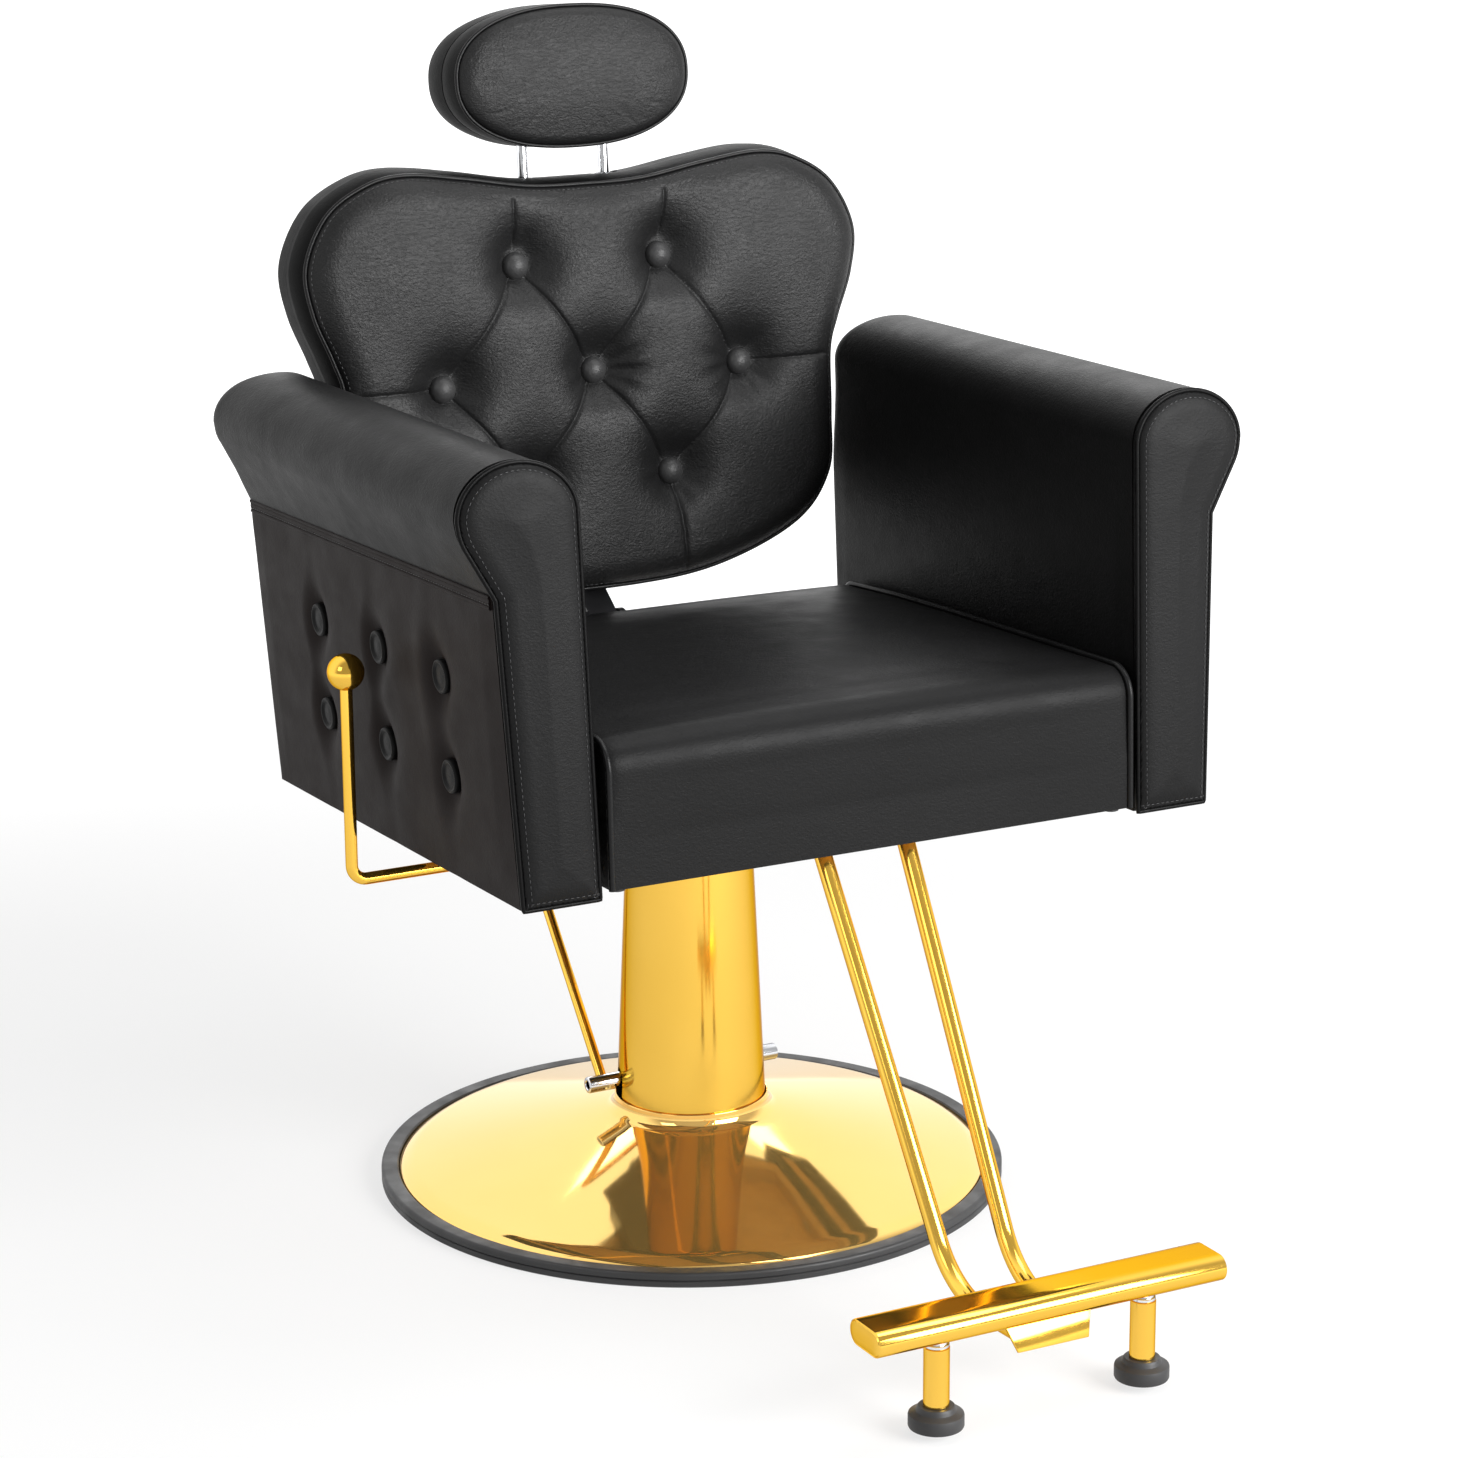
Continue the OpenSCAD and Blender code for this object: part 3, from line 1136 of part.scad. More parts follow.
module leg_spots() for (s = [-1, 1]) translate([s * leg_gap / 2, bar_y, 0]) children();

// plate welded under the bar, with a tongue bent down at its front
module foot_bracket() color(GOLD) {
  y0 = bar_y - bar_w / 2 + 15;
  translate([-tongue_plate_w / 2, y0, bar_low - tongue_t]) cube([tongue_plate_w, bar_w - 19, tongue_t]);
  intersection() {
    across(-tongue_w / 2, tongue_w / 2) polygon([[y0, bar_low], [y0 + tongue_t, bar_low - tongue_t],
      [y0 - 7, bar_low - tongue_t - tongue_drop], [y0 - 10, bar_low - tongue_t - tongue_drop + 1]]);
    slab(y0 - 20, y0 + 20) polygon([[-tongue_w / 2, bar_low], [tongue_w / 2, bar_low],
      [tongue_w / 2 - 8, bar_low - tongue_t - tongue_drop],
      [8 - tongue_w / 2, bar_low - tongue_t - tongue_drop]]);
  }
}

module footrest_legs() color(GOLD) leg_spots() translate([0, 0, pad_top])
  cylinder(d = leg_d, h = leg_top - pad_top, $fn = soft);

// turned necks between the legs and the bar
module leg_necks() color(CHROME) leg_spots() translate([0, 0, leg_top]) {
  cylinder(d = leg_d - 4, h = bar_low - leg_top + bar_wall + 1, $fn = soft);
  cylinder(d = leg_d - 1, h = 3, $fn = soft);
}

module foot_pads() color(RUBBER) leg_spots() rotate_extrude($fn = soft) polygon([
  [0, pad_up], [pad_d / 2 - 1.5, pad_up], [pad_d / 2, pad_up + 2], [pad_d / 2, pad_up + 11],
  [pad_d / 2 - 1, pad_up + 12.5], [leg_d / 2 + 6, pad_up + 14.5], [leg_d / 2 + 5, pad_top - 1],
  [leg_d / 2 + 4, pad_top], [0, pad_top]]);

base_rim();
floor_plate();
base_dish();
pump_block();
pump_bolts();
oil_tank();
pressure_cylinder();
pump_gland();
wiper_seal();
skirt_collar();
pump_skirt();
pump_ram();
pump_piston();
thrust_washer();
ram_cap();
pedal_shaft();
pump_cam();
pump_pedal();
plunger();
plunger_spring();
seat_frame();
seat_bolts();
seat_board();
seat_end_rails();
seat_side_rails();
seat_band();
seat_cushion();
seat_piping();
glides();
arm_left();
arm_right();
arm_facings();
arm_buttons();
arm_cores();
arm_spacers();
arm_bolts();
lever_bushes();
hinge_pins();
recline_lever();
lever_ball();
release_finger();
strut_rod();
release_pin();
strut_cylinder();
back_bracket();
back_board();
back_cushion();
back_rear();
back_piping();
back_buttons();
post_fittings();
headrest_posts();
headrest_core();
headrest_cushion();
footrest_tubes();
foot_bar();
foot_bracket();
footrest_legs();
leg_necks();
foot_pads();
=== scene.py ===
# Hydraulic barber chair. The sections follow the chair as it is put together, from the studio
# floor up. Lengths are metres: origin on the floor under the pump, +Z up, the sitter faces -Y.
import math
import bmesh
import bpy
import numpy as np
from mathutils import Matrix, Vector


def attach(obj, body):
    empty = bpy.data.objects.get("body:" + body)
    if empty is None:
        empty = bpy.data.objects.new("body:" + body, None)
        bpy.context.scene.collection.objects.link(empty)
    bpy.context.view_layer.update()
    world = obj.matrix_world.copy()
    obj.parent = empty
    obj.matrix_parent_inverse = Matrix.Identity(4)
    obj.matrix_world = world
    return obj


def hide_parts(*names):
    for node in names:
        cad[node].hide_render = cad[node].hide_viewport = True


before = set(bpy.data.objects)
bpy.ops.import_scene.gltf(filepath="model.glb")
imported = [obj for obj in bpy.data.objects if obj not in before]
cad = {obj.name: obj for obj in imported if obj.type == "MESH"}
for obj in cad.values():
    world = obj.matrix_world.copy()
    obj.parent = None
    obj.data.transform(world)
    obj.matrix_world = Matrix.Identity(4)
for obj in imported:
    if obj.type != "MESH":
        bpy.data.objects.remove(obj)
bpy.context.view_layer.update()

# ---------- the studio ----------
# A pale floor that runs out to white, a white backdrop that falls off to a grey room on the
# camera's side, four soft lamps, and the camera before the sitter's right-hand corner.
CAMERA_PLACE = Vector((-1.66023, -3.23434, 1.42209))
CAMERA_TURN, CAMERA_RISE, CAMERA_ROLL = math.radians(-27.78), math.radians(15.13), math.radians(-0.35)
CAMERA_LENS = 98.71


def aim(turn, rise, roll):
    back = Vector((math.sin(turn) * math.cos(rise), -math.cos(turn) * math.cos(rise), math.sin(rise)))
    right = Vector((math.cos(turn), math.sin(turn), 0))
    up = back.cross(right)
    level = right * math.cos(roll) + up * math.sin(roll)
    upright = up * math.cos(roll) - right * math.sin(roll)
    return Matrix((level, upright, back)).transposed().to_4x4()


def add_object(name, data):
    made = bpy.data.objects.new(name, data)
    bpy.context.scene.collection.objects.link(made)
    return made


lens = bpy.data.cameras.new("camera")
lens.lens, lens.sensor_width = CAMERA_LENS, 36
camera = add_object("camera", lens)
camera.matrix_world = Matrix.Translation(CAMERA_PLACE) @ aim(CAMERA_TURN, CAMERA_RISE, CAMERA_ROLL)
bpy.context.scene.camera = camera
bpy.context.scene.view_settings.view_transform = "Standard"


def wire(tree, source, target):
    tree.links.new(source, target)


def add_node(tree, kind, **settings):
    made = tree.nodes.new(kind)
    for key, value in settings.items():
        if key in made.inputs:
            made.inputs[key].default_value = value
        else:
            setattr(made, key, value)
    return made


def ramp(tree, value, start, end, low, high, kind="LINEAR"):
    # a value that runs from start to end comes out as low to high
    made = add_node(tree, "ShaderNodeMapRange", interpolation_type=kind)
    for key, number in (("From Min", start), ("From Max", end), ("To Min", low), ("To Max", high)):
        made.inputs[key].default_value = number
    wire(tree, value, made.inputs["Value"])
    return made.outputs["Result"]


def backdrop_rays(tree):
    # 1 for the rays that should meet the white backdrop: camera, glossy and transmission rays
    path = add_node(tree, "ShaderNodeLightPath")
    total = add_node(tree, "ShaderNodeMath", operation="ADD")
    wire(tree, path.outputs["Is Camera Ray"], total.inputs[0])
    wire(tree, path.outputs["Is Glossy Ray"], total.inputs[1])
    seen = add_node(tree, "ShaderNodeMath", operation="ADD", use_clamp=True)
    wire(tree, total.outputs[0], seen.inputs[0])
    wire(tree, path.outputs["Is Transmission Ray"], seen.inputs[1])
    return seen.outputs[0]


FLOOR_GLOW, FLOOR_FAR, FLOOR_TONE, FLOOR_HALF = 0.72, 0.60, 0.25, 30
GLOW_FROM, GLOW_TO = 0.9, 3.5
paper = bpy.data.materials.new("studio_paper")
paper.use_nodes = True
tree = paper.node_tree
shade = tree.nodes["Principled BSDF"]
shade.inputs["Base Color"].default_value = (FLOOR_TONE, FLOOR_TONE, FLOOR_TONE, 1)
shade.inputs["Roughness"].default_value = 0.9
shade.inputs["Specular IOR Level"].default_value = 0.1
glow = add_node(tree, "ShaderNodeEmission")
place = add_node(tree, "ShaderNodeTexCoord")
far = add_node(tree, "ShaderNodeVectorMath", operation="LENGTH")
wire(tree, place.outputs["Object"], far.inputs[0])
rise = ramp(tree, far.outputs["Value"], GLOW_FROM, GLOW_TO, FLOOR_GLOW, FLOOR_GLOW + FLOOR_FAR, "SMOOTHSTEP")
wire(tree, rise, glow.inputs["Strength"])
both = add_node(tree, "ShaderNodeAddShader")
pick = add_node(tree, "ShaderNodeMixShader")
wire(tree, shade.outputs[0], both.inputs[0])
wire(tree, glow.outputs[0], both.inputs[1])
wire(tree, backdrop_rays(tree), pick.inputs[0])
wire(tree, shade.outputs[0], pick.inputs[1])
wire(tree, both.outputs[0], pick.inputs[2])
wire(tree, pick.outputs[0], tree.nodes["Material Output"].inputs[0])
sheet = bpy.data.meshes.new("studio_floor")
sheet.from_pydata([(x * FLOOR_HALF, y * FLOOR_HALF, 0) for x, y in ((-1, -1), (1, -1), (1, 1), (-1, 1))],
                  [], [(0, 1, 2, 3)])
sheet.materials.append(paper)
floor = add_object("studio_floor", sheet)

AIR_LIGHT, ROOM_WHITE, ROOM_GREY, GREY_FROM, WHITE_FROM = 0.30, 1.4, 0.36, -0.35, 0.25
world = bpy.data.worlds.new("studio_air")
bpy.context.scene.world = world
world.use_nodes = True
tree = world.node_tree
soft = tree.nodes["Background"]
soft.inputs["Strength"].default_value = AIR_LIGHT
soft.inputs["Color"].default_value = (1, 1, 1, 1)
white = add_node(tree, "ShaderNodeBackground", Strength=ROOM_WHITE)
ahead = add_node(tree, "ShaderNodeTexCoord")
split = add_node(tree, "ShaderNodeSeparateXYZ")
wire(tree, ahead.outputs["Generated"], split.inputs[0])
fall = ramp(tree, split.outputs["Y"], GREY_FROM, WHITE_FROM, ROOM_GREY, 1.0, "SMOOTHSTEP")
direct = add_node(tree, "ShaderNodeLightPath")
seen = add_node(tree, "ShaderNodeMath", operation="MAXIMUM")
wire(tree, fall, seen.inputs[0])
wire(tree, direct.outputs["Is Camera Ray"], seen.inputs[1])
wire(tree, seen.outputs[0], white.inputs["Color"])
pick = add_node(tree, "ShaderNodeMixShader")
wire(tree, backdrop_rays(tree), pick.inputs[0])
wire(tree, soft.outputs[0], pick.inputs[1])
wire(tree, white.outputs[0], pick.inputs[2])
wire(tree, pick.outputs[0], tree.nodes["World Output"].inputs[0])

for name, place, target, size, power in [
        ("lamp_front", (1.55, -3.3, 1.62), (0, 0, 0.8), (2.5, 1.9), 240),
        ("lamp_left", (-3.2, -1.6, 2.4), (0, 0, 0.6), (1.4, 1.4), 16),
        ("lamp_top", (0.9, -0.6, 3.3), (0, 0, 0.4), (1.6, 1.6), 36),
        ("lamp_back", (1.7, 3.3, 2.8), (0, 0, 0.7), (2.0, 1.2), 26)]:
    bulb = bpy.data.lights.new(name, "AREA")
    bulb.shape, bulb.size, bulb.size_y, bulb.energy = "RECTANGLE", size[0], size[1], power
    lamp = add_object(name, bulb)
    lamp.location = place
    lamp.rotation_euler = (Vector(target) - Vector(place)).to_track_quat("-Z", "Y").to_euler()

# ---------- base ----------
# The moulded rubber rim grips the edge of the floor plate. The dish is one pressed sheet, plated
# and polished, with a sloping lip, a straight cone and a raised neck round the pump.


def mirrored(rings):
    flipped = np.array(rings, float)
    flipped[..., 0] *= -1
    return flipped


def skin(rings, looped=False, capped=True):
    rings = np.asarray(rings, float)
    rows, n = rings.shape[:2]
    faces = [(j * n + i, j * n + (i + 1) % n, (j + 1) % rows * n + (i + 1) % n, (j + 1) % rows * n + i)
             for j in range(rows if looped else rows - 1) for i in range(n)]
    if capped and not looped:
        faces += [tuple(range(n))[::-1], tuple((rows - 1) * n + i for i in range(n))]
    return rings.reshape(-1, 3), faces


def piece(name, parts, finish, sharp=38, weld=0.0):
    points, faces = [], []
    for part_points, part_faces in parts:
        start = len(points)
        points += [tuple(p) for p in part_points]
        faces += [tuple(start + i for i in face) for face in part_faces]
    mesh = bpy.data.meshes.new(name)
    mesh.from_pydata(points, [], faces)
    work = bmesh.new()
    work.from_mesh(mesh)
    if weld:
        bmesh.ops.remove_doubles(work, verts=work.verts, dist=weld)
        bmesh.ops.dissolve_degenerate(work, edges=work.edges, dist=weld)
    bmesh.ops.recalc_face_normals(work, faces=work.faces)
    work.to_mesh(mesh)
    work.free()
    mesh.polygons.foreach_set("use_smooth", [True] * len(mesh.polygons))
    if sharp:
        mesh.set_sharp_from_angle(angle=math.radians(sharp))
    mesh.materials.append(finish)
    return add_object(name, mesh)


def hand_over(made, body, slot, *nodes, fill=None):
    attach(made, body)
    if nodes:
        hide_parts(*nodes)
    return made


def arc(centre, radius, start, end, steps):
    turns = [math.radians(start + (end - start) * i / steps) for i in range(steps + 1)]
    return [(centre[0] + radius * math.cos(a), centre[1] + radius * math.sin(a)) for a in turns]


def around(count):
    return np.linspace(0, 2 * math.pi, count, endpoint=False)


def lathe(profile, steps, middle=(0, 0, 0)):
    # a closed profile of (radius, height) turned about an upright axis
    return [[(middle[0] + r * math.cos(2 * math.pi * k / steps),
              middle[1] + r * math.sin(2 * math.pi * k / steps), middle[2] + z)
             for r, z in profile] for k in range(steps)]


def new_finish(name):
    made = bpy.data.materials.new(name)
    made.use_nodes = True
    return made, made.node_tree, made.node_tree.nodes["Principled BSDF"]


def grain(tree, scale, detail=2.0, rough=0.5, distortion=0.0, stretch=(1, 1, 1)):
    place = add_node(tree, "ShaderNodeTexCoord")
    turn = add_node(tree, "ShaderNodeMapping")
    turn.inputs["Scale"].default_value = stretch
    wire(tree, place.outputs["Object"], turn.inputs["Vector"])
    made = add_node(tree, "ShaderNodeTexNoise", Scale=scale, Detail=detail, Roughness=rough,
                    Distortion=distortion)
    wire(tree, turn.outputs[0], made.inputs["Vector"])
    return made.outputs["Fac"]


def cells(tree, scale, feature="F1"):
    place = add_node(tree, "ShaderNodeTexCoord")
    made = add_node(tree, "ShaderNodeTexVoronoi", Scale=scale, feature=feature)
    wire(tree, place.outputs["Object"], made.inputs["Vector"])
    return made.outputs["Distance"]


def bumps(tree, shade, layers):
    normal = None
    for value, depth, strength in layers:
        made = add_node(tree, "ShaderNodeBump", Strength=strength, Distance=depth)
        wire(tree, value, made.inputs["Height"])
        if normal:
            wire(tree, normal, made.inputs["Normal"])
        normal = made.outputs[0]
    wire(tree, normal, shade.inputs["Normal"])


def finish_of(name, clouds, first, second, smears, satin, relief, **inputs):
    # slow changes of colour and of roughness, and layers of relief. clouds, smears and the first
    # entry of each layer are what grain takes; a layer of cells has its scale there instead
    made, tree, shade = new_finish(name)
    for key, value in inputs.items():
        shade.inputs[key.replace("_", " ")].default_value = value
    mixed = add_node(tree, "ShaderNodeMix", data_type="RGBA")
    mixed.inputs["A"].default_value = (*first, 1)
    mixed.inputs["B"].default_value = (*second, 1)
    wire(tree, ramp(tree, grain(tree, *clouds), *GRAIN_RANGE, 0, 1), mixed.inputs["Factor"])
    wire(tree, [out for out in mixed.outputs if out.type == "RGBA"][0], shade.inputs["Base Color"])
    wire(tree, ramp(tree, grain(tree, *smears), *GRAIN_RANGE, *satin), shade.inputs["Roughness"])
    bumps(tree, shade, [(grain(tree, *kind) if isinstance(kind, tuple) else cells(tree, kind),
                         depth, strength) for kind, depth, strength in relief])
    return made


GRAIN_RANGE = (0.3, 0.7)
rubber = finish_of("black_rubber", (9, 4), (0.020, 0.020, 0.021), (0.036, 0.036, 0.037),
                   (40, 3), (0.42, 0.62), [((1400, 2), 0.0001, 0.4), ((60, 3), 0.0003, 0.15)])


def polished_gold(name, first, second, satin, ripple, metal, rim_tint):
    brushed = (900, 2, 0.5, 0.0, (1, 1, 0.1))
    relief = [((7, 2), 0.002, ripple), (brushed, 0.00002, 0.03)]
    return finish_of(name, (5, 3), first, second, (14, 6, 0.7), satin, relief,
                     Metallic=metal, Specular_Tint=rim_tint)


gold = polished_gold("polished_gold", (0.92, 0.565, 0.095), (0.87, 0.52, 0.075), (0.08, 0.15),
                     0.015, 0.95, (0.62, 0.42, 0.22, 1))
dish_gold = polished_gold("pressed_gold", (0.96, 0.63, 0.20), (0.93, 0.59, 0.17), (0.03, 0.08),
                          0.10, 0.87, (1, 1, 1, 1))

RIM_R, RIM_H, GROOVE = 0.300, 0.014, 0.0016
DISH_R, PLATE_TOP = 0.283, 0.009
rim = piece("rubber_rim", [skin(lathe(
    [(0.276, 0.0), (RIM_R - 0.0015, 0.0), (RIM_R, 0.0012), (RIM_R, RIM_H * 0.36),
     (RIM_R - 0.0006, RIM_H * 0.40), (RIM_R - GROOVE, RIM_H * 0.45), (RIM_R - 0.0006, RIM_H * 0.50),
     (RIM_R, RIM_H * 0.54), (RIM_R, RIM_H - 0.003)]
    + arc((RIM_R - 0.003, RIM_H - 0.003), 0.003, 15, 90, 5)
    + [(DISH_R + 0.0035, RIM_H), (DISH_R + 0.0018, RIM_H - 0.0003), (DISH_R + 0.0005, RIM_H - 0.0017),
       (DISH_R + 0.0003, PLATE_TOP), (0.2803, PLATE_TOP), (0.2803, 0.003), (0.276, 0.003)], 256),
    looped=True)], rubber, 30)
hand_over(rim, "base", "rubber_black", "base_rim")

LIP_R, LIP_H, DISH_H, NECK_R, NECK_H = 0.266, 0.020, 0.064, 0.074, 0.080
NECK_BEND, SHEET = 0.012, 0.0016
slope = math.degrees(math.atan2(DISH_H - LIP_H, LIP_R - NECK_R - NECK_BEND))
bend = (NECK_R + NECK_BEND, DISH_H + NECK_BEND / math.cos(math.radians(slope)))
down = (-SHEET * math.sin(math.radians(slope)), -SHEET * math.cos(math.radians(slope)))
cone_foot = (LIP_R - 0.003, 0.0208)
outside = [(DISH_R - 0.0002, PLATE_TOP), (DISH_R, 0.0105), (DISH_R - 0.001, 0.0125),
           (DISH_R - 0.006, 0.0152), (LIP_R + 0.006, 0.0182), (LIP_R + 0.0015, 0.0197), cone_foot]
outside += [(cone_foot[0] + (bend[0] - cone_foot[0]) * t, cone_foot[1] + (DISH_H - cone_foot[1]) * t)
            for t in np.linspace(0.02, 0.96, 20)]
outside += arc(bend, NECK_BEND, 270 - slope, 180, 14) + [(NECK_R, NECK_H - 0.0012)]
inside = [(NECK_R - SHEET, NECK_H - 0.0012)] + arc(bend, NECK_BEND + SHEET, 180, 270 - slope, 10)
inside += [(LIP_R + down[0], LIP_H + down[1]), (DISH_R - SHEET, 0.0108), (DISH_R - SHEET, PLATE_TOP)]
rolled = arc((NECK_R - SHEET / 2, NECK_H - 0.0008), SHEET / 2, 0, 180, 6)
dish = piece("pressed_dish", [skin(lathe(outside + rolled + inside, 320), looped=True)], dish_gold, 50)
hand_over(dish, "base", "gold", "base_dish")

# ---------- pump and pedal ----------
# A tapered gold skirt hides the pump. The chromed shaft passes through two open notches of the
# skirt and carries the bent pedal rods behind it. Oil tank, block and ram stay inside.
chrome = finish_of("bright_chrome", (18, 4), (0.80, 0.81, 0.83), (0.72, 0.73, 0.75), (45, 5), (0.05, 0.16),
                   [((700, 2), 0.00003, 0.15)], Metallic=1, Specular_Tint=(0.25, 0.25, 0.26, 1))

SKIRT_LOW, SKIRT_TOP, SKIRT_SHEET = (0.0718, 0.072), (0.060, 0.338), 0.0015
SHAFT_Y, SHAFT_Z, SHAFT_R, SHAFT_END = 0.019, 0.095, 0.008, 0.102
wall = list(zip(np.linspace(SKIRT_LOW[0], SKIRT_TOP[0], 14), np.linspace(SKIRT_LOW[1], SKIRT_TOP[1], 14)))
profile = wall[:-1] + arc((SKIRT_TOP[0] - 0.0008, SKIRT_TOP[1] - 0.0008), 0.0008, 0, 90, 4)
profile += [(r - SKIRT_SHEET, z) for r, z in wall[::-1]]
skirt = piece("pump_skirt_gold", [skin(lathe(profile, 256), looped=True)], gold, 40)


def rod_rings(points, radius, sides=24):
    # rings of a round rod that follows the points without twisting
    path = [Vector(p) for p in points]
    rings, side = [], None
    for i, point in enumerate(path):
        ahead = (path[min(i + 1, len(path) - 1)] - path[max(i - 1, 0)]).normalized()
        if side is None:
            side = ahead.orthogonal().normalized()
        side = (side - ahead * side.dot(ahead)).normalized()
        other = ahead.cross(side)
        r = radius[i] if hasattr(radius, "__len__") else radius
        rings.append([point + r * (math.cos(2 * math.pi * k / sides) * side
                                   + math.sin(2 * math.pi * k / sides) * other) for k in range(sides)])
    return rings


def settled(body):
    # makes what the modifiers give the body's own mesh
    graph = bpy.context.evaluated_depsgraph_get()
    fresh = bpy.data.meshes.new_from_object(body.evaluated_get(graph))
    body.modifiers.clear()
    body.data = fresh
    return fresh


def cut(body, cutter):
    # takes the cutter out of the body and drops the cutter
    knife = body.modifiers.new("cut", "BOOLEAN")
    knife.operation, knife.object, knife.solver = "DIFFERENCE", cutter, "EXACT"
    fresh = settled(body)
    bpy.data.objects.remove(cutter)
    fresh.set_sharp_from_angle(angle=math.radians(38))


NOTCH = 0.012
notch = [(SHAFT_Y + NOTCH * math.cos(a), SHAFT_Z + NOTCH * math.sin(a))
         for a in np.linspace(0, math.pi, 17)] + [(SHAFT_Y - NOTCH, 0.060), (SHAFT_Y + NOTCH, 0.060)]
cut(skirt, piece("notch_cutter", [skin([[(x, y, z) for y, z in notch] for x in (-0.09, 0.09)])], gold))
hand_over(skirt, "base", "gold", "pump_skirt")

shaft_profile = [(0.0042, SHAFT_END - 0.012), (0.0042, SHAFT_END - 0.0008), (0.0050, SHAFT_END),
                 (SHAFT_R - 0.0014, SHAFT_END), (SHAFT_R - 0.0004, SHAFT_END - 0.0005),
                 (SHAFT_R, SHAFT_END - 0.0016)]
along = [(r, -x) for r, x in shaft_profile] + [(r, x) for r, x in shaft_profile[::-1]]
rings = [[(x, SHAFT_Y + r * math.cos(a), SHAFT_Z + r * math.sin(a)) for a in around(48)] for r, x in along]
shaft = piece("cross_shaft", [skin(rings)], chrome, 30)
hand_over(shaft, "pedal", "chrome", "pedal_shaft")

PEDAL_X, PEDAL_Y, PEDAL_Z, PEDAL_R, PEDAL_BEND = 0.085, 0.193, 0.230, 0.005, 0.020


def rounded(corners, radius, steps=10):
    # a path through the corners with round bends
    path = [Vector(corners[0])]
    for before, corner, after in zip(corners, corners[1:], corners[2:]):
        corner = Vector(corner)
        first, second = (Vector(before) - corner).normalized(), (Vector(after) - corner).normalized()
        angle = first.angle(second)
        reach = radius / math.tan(angle / 2)
        centre = corner + (first + second).normalized() * radius / math.sin(angle / 2)
        start, end = corner + first * reach - centre, corner + second * reach - centre
        swing = start.angle(end)
        for k in range(steps + 1):
            t = k / steps
            path.append(centre + (start * math.sin((1 - t) * swing) + end * math.sin(t * swing))
                        / math.sin(swing))
    return path + [Vector(corners[-1])]


foot_end = (SHAFT_Y + PEDAL_Y, SHAFT_Z + PEDAL_Z)
pedal_path = rounded([(-PEDAL_X, SHAFT_Y, SHAFT_Z), (-PEDAL_X, *foot_end), (PEDAL_X, *foot_end),
                      (PEDAL_X, SHAFT_Y, SHAFT_Z)], PEDAL_BEND)
pedal = piece("pedal_rods", [skin(rod_rings(pedal_path, PEDAL_R))], gold)
hand_over(pedal, "pedal", "gold", "pump_pedal")

steel = finish_of("machined_steel", (30, 4), (0.46, 0.47, 0.49), (0.34, 0.35, 0.36), (120, 4), (0.24, 0.42),
                  [((800, 2, 0.5, 0.0, (1, 1, 12)), 0.00008, 0.3)], Metallic=1)
paint = finish_of("black_paint", (22, 4), (0.012, 0.012, 0.013), (0.030, 0.030, 0.032), (90, 4), (0.28, 0.46),
                  [((650, 3), 0.00012, 0.35)])
wood = finish_of("bare_plywood", (22, 6, 0.6, 1.2, (1, 8, 8)), (0.46, 0.30, 0.15), (0.62, 0.44, 0.26),
                 (60, 3), (0.55, 0.75), [((160, 4, 0.5, 0.0, (1, 9, 9)), 0.0003, 0.4)])

inner = {
    steel: ["floor_plate", "pump_block", "oil_tank", "pressure_cylinder", "thrust_washer", "plunger_spring",
            "seat_bolts", "arm_spacers", "arm_bolts", "hinge_pins", "release_pin"],
    paint: ["pump_bolts", "pump_gland", "pump_piston", "ram_cap", "pump_cam", "seat_frame", "release_finger",
            "strut_cylinder", "back_bracket"],
    chrome: ["pump_ram", "plunger", "lever_bushes", "strut_rod", "post_fittings", "headrest_posts"],
    rubber: ["wiper_seal", "skirt_collar", "glides"],
    wood: ["seat_board", "seat_end_rails", "seat_side_rails", "arm_cores", "back_board", "headrest_core"]}
for finish, names in inner.items():
    for name in names:
        for place in cad[name].material_slots:
            place.material = finish

# ---------- footrest ----------
# Two bent gold tubes run from sockets in the seat frame to a flat-oval bar with closed ends. A
# plate with a bent-down tongue joins tube and bar, and two legs stand on rubber feet.
TUBE_R, TUBE_X, TUBE_Y, TUBE_Z = 0.008, 0.0321, -0.5204, 0.1157
TUBE_RISE, TOE, TUBE_L = math.radians(57.87), math.radians(2.97), 0.383
RUN_Z = 0.0771
TUBE_BEND = (TUBE_Z - RUN_Z) / (1 - math.cos(TUBE_RISE))
BAR_L, BAR_W, BAR_T, BAR_Y, BAR_Z = 0.340, 0.0505, 0.023, -0.6328, 0.0996

sine, cosine = math.sin(TUBE_RISE), math.cos(TUBE_RISE)
flat = [(TUBE_L * cosine * t, TUBE_L * sine * t) for t in np.linspace(1, 0.02, 12)]
flat += [(TUBE_BEND * (math.sin(t) - sine), TUBE_BEND * (cosine - math.cos(t)))
         for t in np.linspace(TUBE_RISE, 0, 25)]
flat += [(BAR_Y - TUBE_Y - 0.006, RUN_Z - TUBE_Z)]
tube_path = [(TUBE_X + y * math.sin(TOE), TUBE_Y + y * math.cos(TOE), TUBE_Z + z) for y, z in flat]
tube_rings = rod_rings(tube_path, TUBE_R, 32)
tubes = piece("footrest_tubes_gold", [skin(tube_rings), skin(mirrored(tube_rings))], gold)
hand_over(tubes, "seat", "gold", "footrest_tubes")


